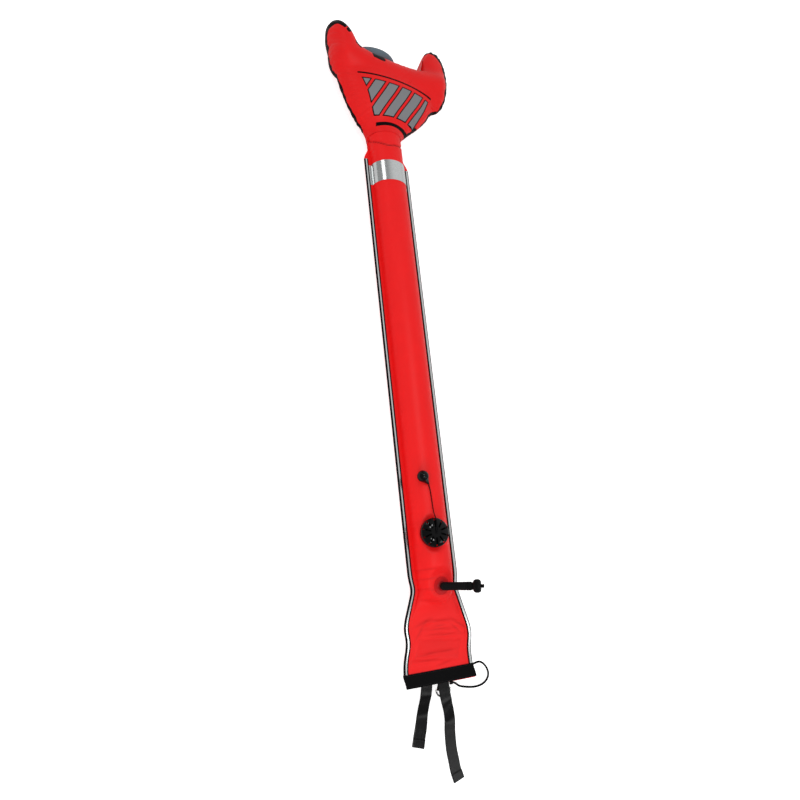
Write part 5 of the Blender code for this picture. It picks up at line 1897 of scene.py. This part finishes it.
@dataclass
class DumpValve(Assembly):
    """Dump valve: slotted cap over the body, spring and poppet that the frame holds."""

    place: Matrix = Matrix()
    cap_radius: float = 0.0285
    cap_wall: float = 0.0016
    cap_height: float = 0.0200
    cap_hole: float = 0.0029
    cap_flat: float = 0.28
    rim_w: float = 0.0040
    shoulder_w: float = 0.0110
    skirt_radius: float = 0.0219
    skirt_low: float = 0.0023
    skirt_top: tuple = (0.0160, 0.0165)
    skirt_fillet: float = 0.0004
    slots: int = 10
    slot_width: float = 0.0034
    slot_inner: float = 0.0105
    knob_radius: float = 0.0117
    knob_length: float = 0.0325
    knob_neck: float = 1.8
    knob_draw: float = 0.92
    knob_bend: tuple = (0.40, 0.62)
    knob_centre: Vector = Vector((-0.0226, -0.1280, 0.0806))
    knob_tip: Vector = Vector((0.64, -0.74, -0.19)).normalized()
    cord_radius: float = 0.0009
    cord_step: float = 0.0012
    cord_route: tuple = (
        (-0.0125, -0.2350, 0.0945),
        (-0.0113, -0.2270, 0.0937),
        (-0.0098, -0.2180, 0.0905),
        (-0.0082, -0.2095, 0.0856),
        (-0.0068, -0.2015, 0.0800),
        (-0.0058, -0.1930, 0.0769),
        (-0.0058, -0.1800, 0.0761),
        (-0.0064, -0.1660, 0.0761),
        (-0.0076, -0.1520, 0.0761),
        (-0.0092, -0.1450, 0.0764),
    )

    def build(self) -> None:
        """Make the cap, the pull cord and its knob."""
        self.build_cap()
        knob = self.build_knob()
        self.build_cord(knob)

    def dome(self, wall_thickness: float) -> Array:
        """Half of the cap's section, from its rim over the dome to the middle hole.

        Args:
            wall_thickness: How far the line lies under the outer face.

        Returns:
            Points of (radius, height).
        """
        flat = self.cap_radius * self.cap_flat
        radius = self.cap_radius - flat - wall_thickness
        rise = self.cap_height - self.shoulder_w - wall_thickness
        alpha = np.linspace(0.0, math.pi / 2, 30)
        dome = stacked(flat + radius * np.cos(alpha), self.shoulder_w + rise * np.sin(alpha))
        side = stacked(flat + radius, np.linspace(self.rim_w, self.shoulder_w, 6)[:-1])
        middle = stacked(np.linspace(flat, self.cap_hole, 6)[1:], self.shoulder_w + rise)
        return np.concatenate([side, dome, middle])

    def build_cap(self) -> None:
        """Domed cap with radial slots; the cells of each slot are left out of the wall.

        Round the axis, each slot's cells span the angle whose sine is half its width over the
        radius, so the slot's sides are parallel, and the cells between slots share the rest.
        """
        outer, inner = self.dome(0.0), self.dome(self.cap_wall)
        slot_cells, land_cells = 6, 12
        sector = math.tau / self.slots
        near = np.clip(outer[:, 0], self.slot_inner, self.cap_radius)
        half = np.arcsin(self.slot_width / 2 / near)[:, None]
        in_slot = half * np.linspace(-1.0, 1.0, slot_cells + 1)[None, :-1]
        in_land = half + (sector - 2 * half) * np.linspace(0.0, 1.0, land_cells + 1)[None, :-1]
        one = np.concatenate([in_slot, in_land], axis=1)
        turns = sector * (np.arange(self.slots) + 0.5)
        angles = (turns[None, :, None] + one[:, None]).reshape(len(outer), -1)
        skins = [placed(section[:, :1], angles, section[:, 1:], self.place)
                 for section in (outer, inner)]
        cell_radius = (outer[1:, 0] + outer[:-1, 0]) / 2
        cell_w = (outer[1:, 1] + outer[:-1, 1]) / 2
        rows = (cell_radius > self.slot_inner) & (cell_w > self.shoulder_w)
        rows &= cell_radius < self.cap_radius - 0.5 * self.cap_wall
        columns = np.arange(angles.shape[1]) % (slot_cells + land_cells) < slot_cells
        keep = ~(rows[:, None] & columns[None])
        around = np.concatenate([angles, angles[:, :1] + math.tau], axis=1) * self.cap_radius
        uv = stacked(around, arc_length(outer)[:, None])
        low, outside = self.skirt_low, self.skirt_radius + self.cap_wall
        skirt = [(self.skirt_radius, low), (outside, low), (outside, self.skirt_top[0]),
                 (self.skirt_radius, self.skirt_top[1])]
        parts = [wall(skins[0], skins[1], uv, keep, wrap=True),
                 turned(fillet(skirt, self.skirt_fillet), self.place)]
        self.add("dump_valve_slotted_cap", joined(parts), self.finishes.gloss, Body.BUOY,
                 ["dump_valve_cap"])

    def build_knob(self) -> bpy.types.Object:
        """Teardrop knob: a ball whose tangent runs down to the cord.

        Returns:
            The knob's object.
        """
        tip = self.knob_length - self.knob_radius
        tangent = math.asin(self.knob_radius / tip) * self.knob_draw
        ball = np.array(arc(self.knob_radius, 0.0, -math.pi / 2, tangent, 40))
        neck = np.array([self.knob_neck * self.cord_radius, tip])
        bend = np.array(self.knob_bend) * (self.knob_radius, tip)
        flank = curved(ball[-1:], bend, neck, np.linspace(0.0, 1.0, 16)[1:, None])
        profile = np.concatenate([ball, flank, [[0.0, tip]]])
        place = axis_frame(self.knob_centre, self.knob_tip, (1, 0, 0))
        return self.add("pull_knob_teardrop", turned(profile, place, sides=64),
                        self.finishes.gloss, Body.POPPET, ["pull_knob"])

    def build_cord(self, knob: bpy.types.Object) -> None:
        """Thin braided cord from the poppet's stem over the cap to the knob's tip.

        Args:
            knob: The knob that it ends in.
        """
        up = self.place.to_3x3() @ Vector((0.0, 0.0, 1.0))
        stem = self.place @ Vector((0.0, 0.0, self.cap_height + 2 * GAP))
        tip = self.knob_length - self.knob_radius
        end = self.knob_centre + self.knob_tip * (tip + GAP)
        lead = self.knob_centre + self.knob_tip * (tip + 3 * self.cord_radius)
        route = [stem, stem + up * 3 * self.cord_radius, *self.cord_route, lead, end]
        path = smooth_route(route, self.cord_step)
        cord = self.add("pull_cord_braid", swept(path, self.cord_radius, (1.0, 0.0, 0.0), 14),
                        self.finishes.cord, Body.POPPET, ["pull_cord"])


@dataclass
class OralInflator(Assembly):
    """Oral inflator: welded base, hose, valve body, lock ring and mouthpiece."""

    seat: Matrix = Matrix()
    normal: Vector = Vector((0.0, 0.0, 1.0))
    lean: float = math.radians(50.0)
    hose_radius: float = 0.0080
    hose_bore: float = 0.0052
    hose_length: float = 0.0440
    nipple_radius: float = 0.0050
    nipple_bore: float = 0.0024
    base_radius: float = 0.0175
    base_thickness: float = 0.0012
    base_depth: float = 0.0045
    dish_slope: tuple = (1.9, 1.2)
    # dark_rings: share, outer and inner radius of each ring of painted shade and thicker
    # polyurethane round the hose
    dark_rings: tuple = ((0.3, 0.0142, 0.0132), (0.7, 0.0105, 0.0085))
    socket_angle: float = math.radians(50.0)
    hose_waist: float = 0.0002
    hose_bead: tuple = (0.0395, 0.0010, 0.00025)
    clearance: float = 0.0004
    spigot_share: float = 0.62
    shoulder_top: float = 0.0532
    neck_top: float = 0.0560
    neck_radius: float = 0.0072
    chamber_radius: float = 0.0056
    chamber_depth: float = 0.0100
    stem_radius: float = 0.0032
    stem_bore: float = 0.0015
    stem_flange_radius: float = 0.0049
    stem_flange_w: tuple = (0.0507, 0.0519)
    ring_radius: float = 0.0128
    ring_length: float = 0.0150
    ring_rounding: float = 0.42
    ring_flutes: int = 24
    flute_depth: float = 0.0004
    flute_blend: tuple = (0.0020, 0.0004)
    travel: float = 0.0025
    tip_w: float = 0.0775
    bead_swell: float = 1.12
    bead_steps: tuple = (0.0008, 0.0018, 0.0034, 0.0022)
    base_fillet: float = 0.0005
    body_fillet: float = 0.0006
    tip_fillet: float = 0.0010

    def __post_init__(self) -> None:
        """Place the hose's axis through the socket's centre, leaning to the right."""
        foot = self.base_thickness + self.hose_radius + self.clearance
        axis = self.normal * math.cos(self.lean) + Vector((1, 0, 0)) * math.sin(self.lean)
        origin = self.seat.translation + self.normal * foot
        self.hose = axis_frame(origin, axis, (0, 1, 0))

    def build(self) -> None:
        """Make the five visible pieces."""
        self.build_base()
        self.build_hose()
        self.build_valve_body()
        self.build_lock_ring()
        self.build_mouthpiece()

    def build_base(self) -> None:
        """Clear red base: welded disc, raised dish for the hose's foot and nipple.

        Each dark ring adds its share of the deep colour from its outer to its inner radius:
        thicker polyurethane, and painted shade round the hose's foot.
        """
        dish = self.hose_radius + self.clearance
        centre = self.base_thickness + dish
        top = GAP + self.base_thickness
        bottom = -math.acos(self.nipple_bore / dish)
        rim = arc(dish, centre, -self.socket_angle, bottom, 16)
        rim_r, rim_w = rim[0]
        skirt = fillet([
            (self.nipple_bore, -self.base_depth), (self.nipple_radius, -self.base_depth),
            (self.nipple_radius, GAP), (self.base_radius, GAP),
            (self.base_radius, top - self.base_thickness / 2),
            (rim_r * self.dish_slope[0], top), (rim_r * self.dish_slope[1], rim_w),
            (rim_r, rim_w)], self.base_fillet)
        part = turned(np.concatenate([skirt, rim]), self.seat, sides=128)
        offset = part.points - np.array(self.seat.translation)
        normal = np.array(self.seat.to_3x3())[:, 2]
        spread = np.linalg.norm(offset - (offset @ normal)[:, None] * normal, axis=-1)
        # thick: deeper red from thicker polyurethane plus painted shade round the hose's foot
        thick = sum(share * between(spread, *radii) for share, *radii in self.dark_rings)
        self.add("inflator_clear_base", part, self.finishes.clear_red, Body.BUOY,
                 ["inflator_flange"], mark=thick)

    def build_hose(self) -> None:
        """Rubber hose with a round foot, a faint waist and a bead where it is clamped."""
        foot = arc(self.hose_radius, 0.0, -math.acos(self.nipple_bore / self.hose_radius),
                   0.0, 24)
        along = np.linspace(0.002, self.hose_length, 80)
        waist = self.hose_waist * np.sin(math.pi * along / self.hose_length) ** 2
        middle, reach, rise = self.hose_bead
        bead = rise * np.exp(-((along - middle) / reach) ** 2)
        side = stacked(self.hose_radius - waist + bead, along)
        bore = [(self.hose_bore, self.hose_length), (self.hose_bore, self.hose_bore / 2),
                (self.nipple_bore, 0.0)]
        profile = np.concatenate([foot, side, bore])
        self.add("inflator_rubber_hose", turned(profile, self.hose, sides=96),
                 self.finishes.rubber, Body.INFLATOR, ["inflator_hose"])

    def build_valve_body(self) -> None:
        """Valve body: spigot in the hose, shoulder and neck round the spring's chamber."""
        low = self.hose_length + GAP
        spigot = self.hose_length * self.spigot_share
        floor = self.neck_top - self.chamber_depth
        profile = fillet([
            (self.stem_radius, spigot), (self.hose_bore - GAP, spigot),
            (self.hose_bore - GAP, low), (self.hose_radius + GAP, low),
            (self.hose_radius + GAP, self.shoulder_top), (self.neck_radius, self.shoulder_top),
            (self.neck_radius, self.neck_top), (self.chamber_radius, self.neck_top),
            (self.chamber_radius, floor), (self.stem_radius, floor)], self.body_fillet)
        self.add("inflator_moulded_body", turned(profile, self.hose), self.finishes.moulding,
                 Body.INFLATOR, ["inflator_valve_body"])

    def build_lock_ring(self) -> None:
        """Rounded lock ring whose outer face is fluted by a cosine round the axis.

        Its rounding stops short of the wide bore at its foot, so the section never crosses
        itself.
        """
        low = self.neck_top + self.clearance
        top = low + self.ring_length
        bore = self.stem_radius + self.clearance
        skirt = self.neck_radius + self.clearance
        skirt_top = low + self.travel + self.clearance
        corner = self.ring_length * self.ring_rounding
        middle, reach = (low + top) / 2, self.ring_length / 2 - corner
        shrink = min(corner, self.ring_radius - skirt - self.clearance)
        turn = np.linspace(0.0, math.pi / 2, 14)
        outer = stacked(self.ring_radius - shrink * (1 - np.cos(turn)),
                        middle + reach + corner * np.sin(turn))
        under = outer[::-1] * (1, -1) + (0.0, 2 * middle)
        profile = np.concatenate([[[skirt, low]], under, outer, [
            [bore, top], [bore, skirt_top], [skirt, skirt_top]]])

        def flutes(radius: Array, angles: Array) -> Array:
            """Grooves that fade in over the outer part of the ring.

            Args:
                radius: Radii of the turned profile.
                angles: Angles round the ring.

            Returns:
                The radii with the grooves taken off.
            """
            share = between(radius, *(self.ring_radius - depth for depth in self.flute_blend))
            groove = np.clip(np.cos(self.ring_flutes * angles), -0.4, 1.0) + 0.4
            return radius - self.flute_depth * share * groove

        self.add("inflator_fluted_ring", turned(profile, self.hose, 240, flutes),
                 self.finishes.moulding, Body.LOCK_RING, ["inflator_lock_ring"])

    def build_mouthpiece(self) -> None:
        """Mouthpiece: flange under the spring's seat, long stem and a beaded tip."""
        low, high = self.stem_flange_w
        collar = self.neck_top + self.ring_length + 2 * self.clearance
        tip = self.tip_w
        lip = self.stem_radius * self.bead_swell
        start, end, waist, mouth = self.bead_steps
        profile = fillet([
            (self.stem_bore, low), (self.stem_flange_radius, low),
            (self.stem_flange_radius, high), (self.stem_radius, high),
            (self.stem_radius, collar), (lip, collar + start), (lip, collar + end),
            (self.stem_radius, collar + waist), (lip, tip - mouth), (lip, tip),
            (self.stem_bore, tip)], self.tip_fillet, 6)
        self.add("inflator_beaded_mouthpiece", turned(profile, self.hose, 64),
                 self.finishes.moulding, Body.MOUTHPIECE, ["inflator_mouthpiece"])


# Webbing, ring and cords at the hem


@dataclass(frozen=True)
class StrapPlan:
    """Route of one strap, as (x, z) at even steps away from the hem.

    Its twist is the angle by which its far end rolls on to its left edge.
    """

    name: str
    body: Body
    reach: float
    twist: float
    route: tuple


@dataclass
class Hem(Assembly):
    """Hem webbing, straps, D-ring with its tab, and the elastic loop."""

    tube: TubeShape = TubeShape()
    hem_thickness: float = 0.0012
    hem_overhang: float = 0.0015
    hem_rounding: tuple = (0.0004, 0.0006)
    stitch_inset: float = 0.0025
    stitch_margin: float = 0.003
    stitch_share: float = 0.72
    thread_radius: float = 0.00028
    strap_width: float = 0.0245
    strap_thickness: float = 0.0015
    fold_length: float = 0.016
    fold_inset: float = 0.0028
    roll_share: tuple = (0.45, 0.75)
    ring_place: Vector = Vector((0.0082, -0.531, 0.0130))
    ring_radius: float = 0.0155
    ring_wire: float = 0.00175
    ring_corner: float = 0.003
    tab_half_width: float = 0.0118
    tab_wall: float = 0.0014
    tab_opening: float = math.radians(62.0)
    bungee_radius: float = 0.0020
    bungee_smoothing: int = 24
    ferrule_radius: float = 0.0030
    ferrule_length: float = 0.0055
    ferrule_x: float = 0.0212
    short: StrapPlan = StrapPlan("short_strap", Body.SHORT_STRAP, 0.106, 0.16, (
        (-0.0310, 0.0200),
        (-0.0345, 0.0185),
        (-0.0355, 0.0085),
        (-0.0375, 0.0014),
        (-0.0424, 0.00075),
        (-0.0484, 0.00075),
        (-0.0540, 0.00075),
    ))
    long: StrapPlan = StrapPlan("long_strap", Body.LONG_STRAP, 0.178, 0.0, (
        (0.0065, 0.0200),
        (0.0070, 0.0201),
        (0.0100, 0.0188),
        (0.0175, 0.0090),
        (0.0222, 0.0016),
        (0.0203, 0.00075),
        (0.0192, 0.00075),
        (0.0192, 0.00075),
        (0.0212, 0.00075),
        (0.0232, 0.00075),
        (0.0278, 0.00075),
    ))
    bungee_leave_y: float = -0.4968
    bungee_route: tuple = (
        (0.0860, -0.4963, 0.0200),
        (0.0905, -0.4943, 0.0195),
        (0.0965, -0.4943, 0.0181),
        (0.1045, -0.4982, 0.0150),
        (0.1140, -0.5056, 0.0104),
        (0.1222, -0.5147, 0.0055),
        (0.1255, -0.5250, 0.0024),
        (0.1200, -0.5344, 0.0019),
        (0.1060, -0.5413, 0.0019),
        (0.0855, -0.5426, 0.0019),
        (0.0660, -0.5390, 0.0021),
        (0.0515, -0.5352, 0.0062),
        (0.0400, -0.5295, 0.0135),
    )

    def build(self) -> None:
        """Make every piece at the hem."""
        self.build_bands()
        for plan in (self.short, self.long):
            self.build_strap(plan)
        self.build_ring()
        self.build_tab()
        self.build_bungee()

    def build_bands(self) -> None:
        """Webbing over the mouth's front and back, with two rows of stitches on the front."""
        tube = self.tube
        low = tube.cloth + GAP
        y = np.linspace(tube.hem_y, tube.hem_y + tube.hem_height, 21)

        def reach(at: Array, sign: int) -> Array:
            """The webbing stands a little past the cut edge."""
            return tube.edge_x(at, sign) + self.hem_overhang

        for name, side in (("front", Side.FRONT), ("back", Side.BACK)):
            outer, inner = (tube.grid(y, low + rise, side, reach, folds=False)
                            for rise in (self.hem_thickness, 0.0))
            drop, reach_in = self.hem_rounding
            rim = np.minimum(y - y[0], y[-1] - y)
            outer[..., 2] -= side.value * (drop * np.exp(-rim / reach_in))[:, None]
            self.add(f"hem_{name}_webbing", wall(outer, inner, developed(outer)),
                     self.finishes.webbing, Body.BUOY, [f"hem_band_{name}"])
            rows = []
            for at in (y[0] + self.stitch_inset, y[-1] - self.stitch_inset):
                line = tube.grid(np.array([at]), low + self.hem_thickness, side, reach,
                                 folds=False)[0]
                rows.append(self.stitch_row(line, side.value))
            self.add(f"hem_{name}_stitches", joined(rows), self.finishes.thread, Body.BUOY)

    def stitch_row(self, line: Array, up: float, pitch: float = 0.0035) -> Part:
        """Stitches along a line of points, with a margin at each end.

        Args:
            line: Points of the row.
            up: 1 where the cloth faces up, -1 where it faces down.
            pitch: Distance from stitch to stitch.

        Returns:
            The stitches as one part.
        """
        lengths = arc_length(line)
        marks = np.arange(self.stitch_margin, lengths[-1] - self.stitch_margin, pitch)
        middles = sampled(line, lengths, marks)
        along = unit(sampled(line, lengths, marks + 0.001) - middles)
        normal = np.broadcast_to([0.0, 0.0, up], along.shape)
        return stitches(middles, along, normal, self.stitch_share * pitch, self.thread_radius)

    def build_strap(self, plan: StrapPlan) -> None:
        """Strap of webbing with rounded edges, whose end is folded back over itself.

        The section is a flat bar with half-round edges. Its top rises by one thickness past
        the start of the fold.

        Args:
            plan: The strap's route.
        """
        start = self.tube.hem_y - 2 * GAP
        route_y = np.linspace(start, start - plan.reach, len(plan.route))
        path = smooth_route([(x, y, z) for (x, z), y in zip(plan.route, route_y)], 0.0016)
        lengths = arc_length(path)
        fold = lengths[-1] - self.fold_length
        tangent = np.gradient(path, lengths, axis=0)
        tangent[0] = (0.0, -1.0, 0.0)
        tangent = unit(tangent)
        side = unit(np.cross(tangent, [0.0, 0.0, 1.0]))
        up = np.cross(side, tangent)
        half, thin = self.strap_width / 2, self.strap_thickness / 2
        roll = plan.twist * between(lengths / lengths[-1], *self.roll_share)[:, None]
        side, up = (side * np.cos(roll) - up * np.sin(roll),
                    up * np.cos(roll) + side * np.sin(roll))
        path = path + up * half * np.abs(np.sin(roll))
        flat = np.linspace(-1.0, 1.0, 13) * (half - thin)
        turn = np.linspace(math.pi / 2, -math.pi / 2, 7)[1:-1]
        across = np.concatenate([flat, half - thin + thin * np.cos(turn), flat[::-1],
                                 -half + thin - thin * np.cos(turn)])
        level = np.concatenate([np.ones(13), np.sin(turn), -np.ones(13), -np.sin(turn)])
        rise = between(lengths, fold, fold + 0.0012)[:, None] * self.strap_thickness
        high = level[None] * thin + rise * (level[None] > 0.0)
        rings = (path[:, None] + side[:, None] * across[None, :, None]
                 + up[:, None] * high[..., None])
        tips = np.repeat(rings[[0, -1]].mean(axis=1)[:, None], rings.shape[1], axis=1)
        rings = np.concatenate([tips[:1], rings, tips[1:]])
        rings[..., 2] = np.maximum(rings[..., 2], 0.0)
        section = stacked(across, level * thin)
        around = arc_length(np.concatenate([section, section[:1]]))
        uv = stacked(around[None], arc_length(rings[:, 6])[:, None])
        self.add(plan.name + "_webbing", surface(rings, uv), self.finishes.strap,
                 plan.body, [plan.name])
        rows = []
        for at in (fold + self.fold_inset, lengths[-1] - self.fold_inset):
            index = int(np.searchsorted(lengths, at))
            row = (path[index] + side[index] * flat[:, None]
                   + up[index] * (thin + self.strap_thickness))
            rows.append(self.stitch_row(row, 1.0, 0.0030))
        self.add(plan.name + "_stitches", joined(rows), self.finishes.thread, plan.body)

    def build_ring(self) -> None:
        """D-ring of bent wire: a straight bar, two small corners and a bow."""
        bar = self.ring_radius - self.ring_corner
        corner = np.linspace(math.pi / 2, 0.0, 12)
        bow = np.linspace(0.0, -math.pi, 90)[1:-1]
        right = stacked(bar + self.ring_corner * np.cos(corner),
                        self.ring_corner * (np.sin(corner) - 1))
        curve = stacked(self.ring_radius * np.cos(bow), -self.ring_corner + bar * np.sin(bow))
        left = right[::-1] * (-1, 1)
        straight = stacked(np.linspace(-bar, bar, 24)[1:-1], 0.0)
        outline = np.concatenate([right, curve, left, straight])
        path = np.pad(outline, ((0, 0), (0, 1))) + np.array(self.ring_place)
        self.add("d_ring_wire", swept(path, self.ring_wire, (0.0, 0.0, 1.0), 24, closed=True),
                 self.finishes.steel, Body.RING, ["d_ring"])

    def build_tab(self) -> None:
        """Webbing folded round the ring's bar and caught under the back hem."""
        tube = self.tube
        bore = self.ring_wire + GAP
        eye = bore + self.tab_wall
        band_z = tube.hem_mid_z - tube.mouth_half_gap - tube.cloth
        band_z -= self.hem_thickness / 2 + 1.5 * GAP
        root = np.array([tube.hem_y - GAP - self.ring_place.y, band_z - self.ring_place.z])
        lead = math.atan2(root[1], root[0])
        angles = np.linspace(lead + self.tab_opening, lead + math.tau - self.tab_opening, 40)
        ring = stacked(np.cos(angles), np.sin(angles))
        outer = np.concatenate([[root + (0, self.tab_wall)], eye * ring,
                                [root - (0, self.tab_wall)]])
        inner = np.concatenate([[root + (0, 0.0001)], bore * ring, [root - (0, 0.0001)]])
        x = np.linspace(-self.tab_half_width, self.tab_half_width, 17)
        skins = []
        for outline in (outer, inner):
            y, z = outline[:, 0] + self.ring_place.y, outline[:, 1] + self.ring_place.z
            skins.append(stacked((x + self.ring_place.x)[:, None], y[None], z[None]))
        uv = developed(skins[0])[..., ::-1]
        self.add("d_ring_tab_webbing", wall(skins[0], skins[1], uv), self.finishes.webbing,
                 Body.BUOY, ["d_ring_tab"])

    def build_bungee(self) -> None:
        """Elastic loop from the hem's right end back to a ferrule at its lower edge."""
        tube = self.tube
        leave = np.array([self.bungee_leave_y])
        start_x = float((tube.sway(leave) + tube.edge_x(leave, 1))[0])
        start = (start_x + self.hem_overhang + 3 * GAP, float(leave[0]), tube.hem_mid_z)
        side_y = tube.hem_y - self.ferrule_radius - GAP
        end, entry, lead = [(self.ferrule_x + self.ferrule_length * k + GAP, side_y,
                             tube.hem_mid_z) for k in (0.0, 1.2, 2.0)]
        path = smooth_route([start, *self.bungee_route, lead, entry], 0.0020)
        for _ in range(self.bungee_smoothing):
            path[1:-1] = (path[:-2] + 2.0 * path[1:-1] + path[2:]) / 4.0
        path = np.concatenate([path, [end]])
        path[:, 2] = np.maximum(path[:, 2], self.bungee_radius)
        loop = self.add("bungee_braid", swept(path, self.bungee_radius, (0.0, 0.0, 1.0), 20),
                        self.finishes.cord, Body.BUOY, ["bungee_loop"])
        place = axis_frame(Vector((self.ferrule_x, side_y, tube.hem_mid_z)),
                           Vector((1, 0, 0)), (0, 1, 0))
        bore = self.bungee_radius + GAP
        profile = fillet([(bore, 0.0), (self.ferrule_radius, 0.0),
                          (self.ferrule_radius, self.ferrule_length),
                          (bore, self.ferrule_length)], 0.0005)
        ferrule = self.add("bungee_end_ferrule", turned(profile, place, 48),
                           self.finishes.moulding, Body.BUOY, ["bungee_ferrule"])


@dataclass
class InnerPieces:
    """CAD nodes that stay: their shape is right, so they only get their finish."""

    finishes: Finishes

    def build(self) -> None:
        """Give each node that stays its material."""
        kept = {
            "moulding": ("dump_valve_flange", "dump_valve_body", "dump_valve_poppet",
                         "inflator_backing_ring", "inflator_retainer"),
            "rubber": ("dump_valve_gasket", "dump_valve_seal", "inflator_check_disc"),
            "steel": ("dump_valve_spring", "inflator_spring"),
        }
        for finish, nodes in kept.items():
            material = getattr(self.finishes, finish)
            for name in nodes:
                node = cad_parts[name]
                node.data.materials.clear()
                node.data.materials.append(material)
                LOG.info("%s: finished as %s", name, material.name)


@dataclass
class Studio:
    """Pale floor, soft lamps, an even world and the camera."""

    camera_place: tuple = (-0.6968, -0.311, 1.213)
    camera_turn: tuple = (17.8596, -27.7737, -6.7852)
    lens_mm: float = 29.988
    sensor_mm: float = 36.0
    floor_half: float = 30.0
    floor_z: float = -0.0002
    world_light: float = 0.82
    bright_side: tuple = (0.70, 0.40, 0.60)
    bright_edge: tuple = (0.45, 0.95)
    mirrored_light: tuple = (0.26, 0.68)
    floor_light: float = 0.72
    lamp_target: tuple = (0.0, 0.05, 0.05)

    def build(self) -> None:
        """Set up everything that isn't the buoy."""
        self.build_camera()
        self.build_floor()
        self.build_world()
        self.build_lamp("key_softbox", (1.20, -0.55, 1.35), (0.90, 0.90), 3.4, Use.SOFT)
        self.build_lamp("fill_softbox", (-1.40, 0.10, 0.90), (0.90, 1.40), 2.5, Use.SOFT)
        self.build_lamp("low_softbox", (-0.90, -1.50, 0.70), (0.60, 0.40), 6.5, Use.SOFT)
        self.build_lamp("strap_softbox", (1.05, -1.32, 1.70), (0.90, 0.50), 4.6, Use.MIRRORED)
        self.build_lamp("band_softbox", (-1.20, 1.78, 1.42), (0.56, 0.50), 2.1, Use.MIRRORED)
        self.build_lamp("upper_glint_lamp", (-0.20, 0.42, 1.97), (0.26, 0.26), 7.0,
                        Use.MIRRORED)
        self.build_lamp("lower_glint_lamp", (-0.24, -0.76, 2.00), (0.26, 0.26), 7.0,
                        Use.MIRRORED)
        bpy.context.scene.view_settings.view_transform = "Standard"

    def build_camera(self) -> None:
        """Camera at the photograph's viewing angle."""
        data = bpy.data.cameras.new("camera")
        data.lens = self.lens_mm
        data.sensor_width = self.sensor_mm
        data.clip_start, data.clip_end = 0.01, 100.0
        camera = linked("camera", data)
        camera.location = self.camera_place
        camera.rotation_euler = [math.radians(angle) for angle in self.camera_turn]
        bpy.context.scene.camera = camera

    def seen(self, tree: Tree) -> Socket:
        """1 for rays from the camera and through clear pieces.

        Args:
            tree: Node tree of the floor's material or of the world.

        Returns:
            The socket of that 0 or 1.
        """
        path = add_node(tree, "LightPath").outputs
        return add_node(tree, "Math", {0: path["Is Camera Ray"],
                                       1: path["Is Transmission Ray"]},
                        operation="MAXIMUM").outputs[0]

    def build_floor(self) -> None:
        """Wide white floor that keeps a soft shadow.

        Seen rays get most of their white from emission and the rest from the lit floor.
        """
        low, half = self.floor_z, self.floor_half
        mesh = bpy.data.meshes.new("floor")
        mesh.from_pydata([(-half, -half, low), (half, -half, low), (half, half, low),
                          (-half, half, low)], [], [(0, 1, 2, 3)])
        made = bpy.data.materials.new("matt_white_paper")
        made.use_nodes = True
        tree = made.node_tree
        shader = tree.nodes["Principled BSDF"]
        shader.inputs["Base Color"].default_value = linear("#E8E8E8")
        shader.inputs["Roughness"].default_value = 1.0
        shader.inputs["Specular IOR Level"].default_value = 0.0
        shader.inputs["Emission Color"].default_value = (1.0, 1.0, 1.0, 1.0)
        glow = add_node(tree, "Math", {0: self.seen(tree), 1: self.floor_light},
                        operation="MULTIPLY")
        tree.links.new(glow.outputs[0], shader.inputs["Emission Strength"])
        mesh.materials.append(made)
        linked("floor", mesh)

    def build_world(self) -> None:
        """Even white light, seen in reflections as a room that is brighter on the right."""
        world = bpy.data.worlds.new("white_room")
        world.use_nodes = True
        tree = world.node_tree
        background = tree.nodes["Background"]
        direction = add_node(tree, "TexCoord").outputs["Generated"]
        aim = Vector(self.bright_side).normalized()
        towards = add_node(tree, "VectorMath", {0: direction, 1: aim},
                           operation="DOT_PRODUCT").outputs["Value"]
        dim, bright = self.mirrored_light
        start, full = self.bright_edge
        walls = add_node(tree, "MapRange", {0: towards, 1: start, 2: full, 3: dim, 4: bright},
                         interpolation_type="SMOOTHSTEP").outputs[0]
        mirrored = add_node(tree, "LightPath").outputs["Is Glossy Ray"]
        light = add_node(tree, "Mix", {0: mirrored, 2: self.world_light, 3: walls})
        light = add_node(tree, "Mix", {0: self.seen(tree), 2: light.outputs[0], 3: 1.0})
        tree.links.new(light.outputs[0], background.inputs["Strength"])
        background.inputs["Color"].default_value = (1.0, 1.0, 1.0, 1.0)
        bpy.context.scene.world = world

    def build_lamp(self, name: str, place: tuple, size: tuple, watts: float,
                   use: Use) -> None:
        """Softbox turned to the tube's middle.

        Args:
            name: Name of the lamp.
            place: Its middle.
            size: Its sides, the second one along the tube.
            watts: Its power.
            use: What it lights.
        """
        data = bpy.data.lights.new(name, "AREA")
        data.shape = "RECTANGLE"
        data.size, data.size_y = size
        data.energy = watts
        lamp = linked(name, data)
        aim = Vector(self.lamp_target) - Vector(place)
        lamp.matrix_world = axis_frame(Vector(place), -aim, aim.cross((0.0, 1.0, 0.0)))
        lamp.visible_diffuse, lamp.visible_glossy = use.value


def corners(pair: tuple) -> list:
    """Two corners as plain lists of numbers."""
    return [list(corner) for corner in pair]


def main() -> None:
    """Build the studio and every sub-assembly."""
    logging.basicConfig(level=logging.INFO, format="%(name)s %(message)s")
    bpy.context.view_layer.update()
    Studio().build()
    finishes = make_finishes()
    tube = Tube(finishes)
    valve, inflator = tube.valve_seat(), tube.inflator_seat()
    valve_place = axis_frame(valve.origin, valve.normal, (1, 0, 0))
    base_place = axis_frame(inflator.origin, inflator.normal, (1, 0, 0))
    DumpValve(finishes, valve_place).build()
    Hem(finishes).build()
    tube.build()
    Head(finishes).build()
    OralInflator(finishes, base_place, inflator.normal).build()
    InnerPieces(finishes).build()


if __name__ == "__main__":
    main()
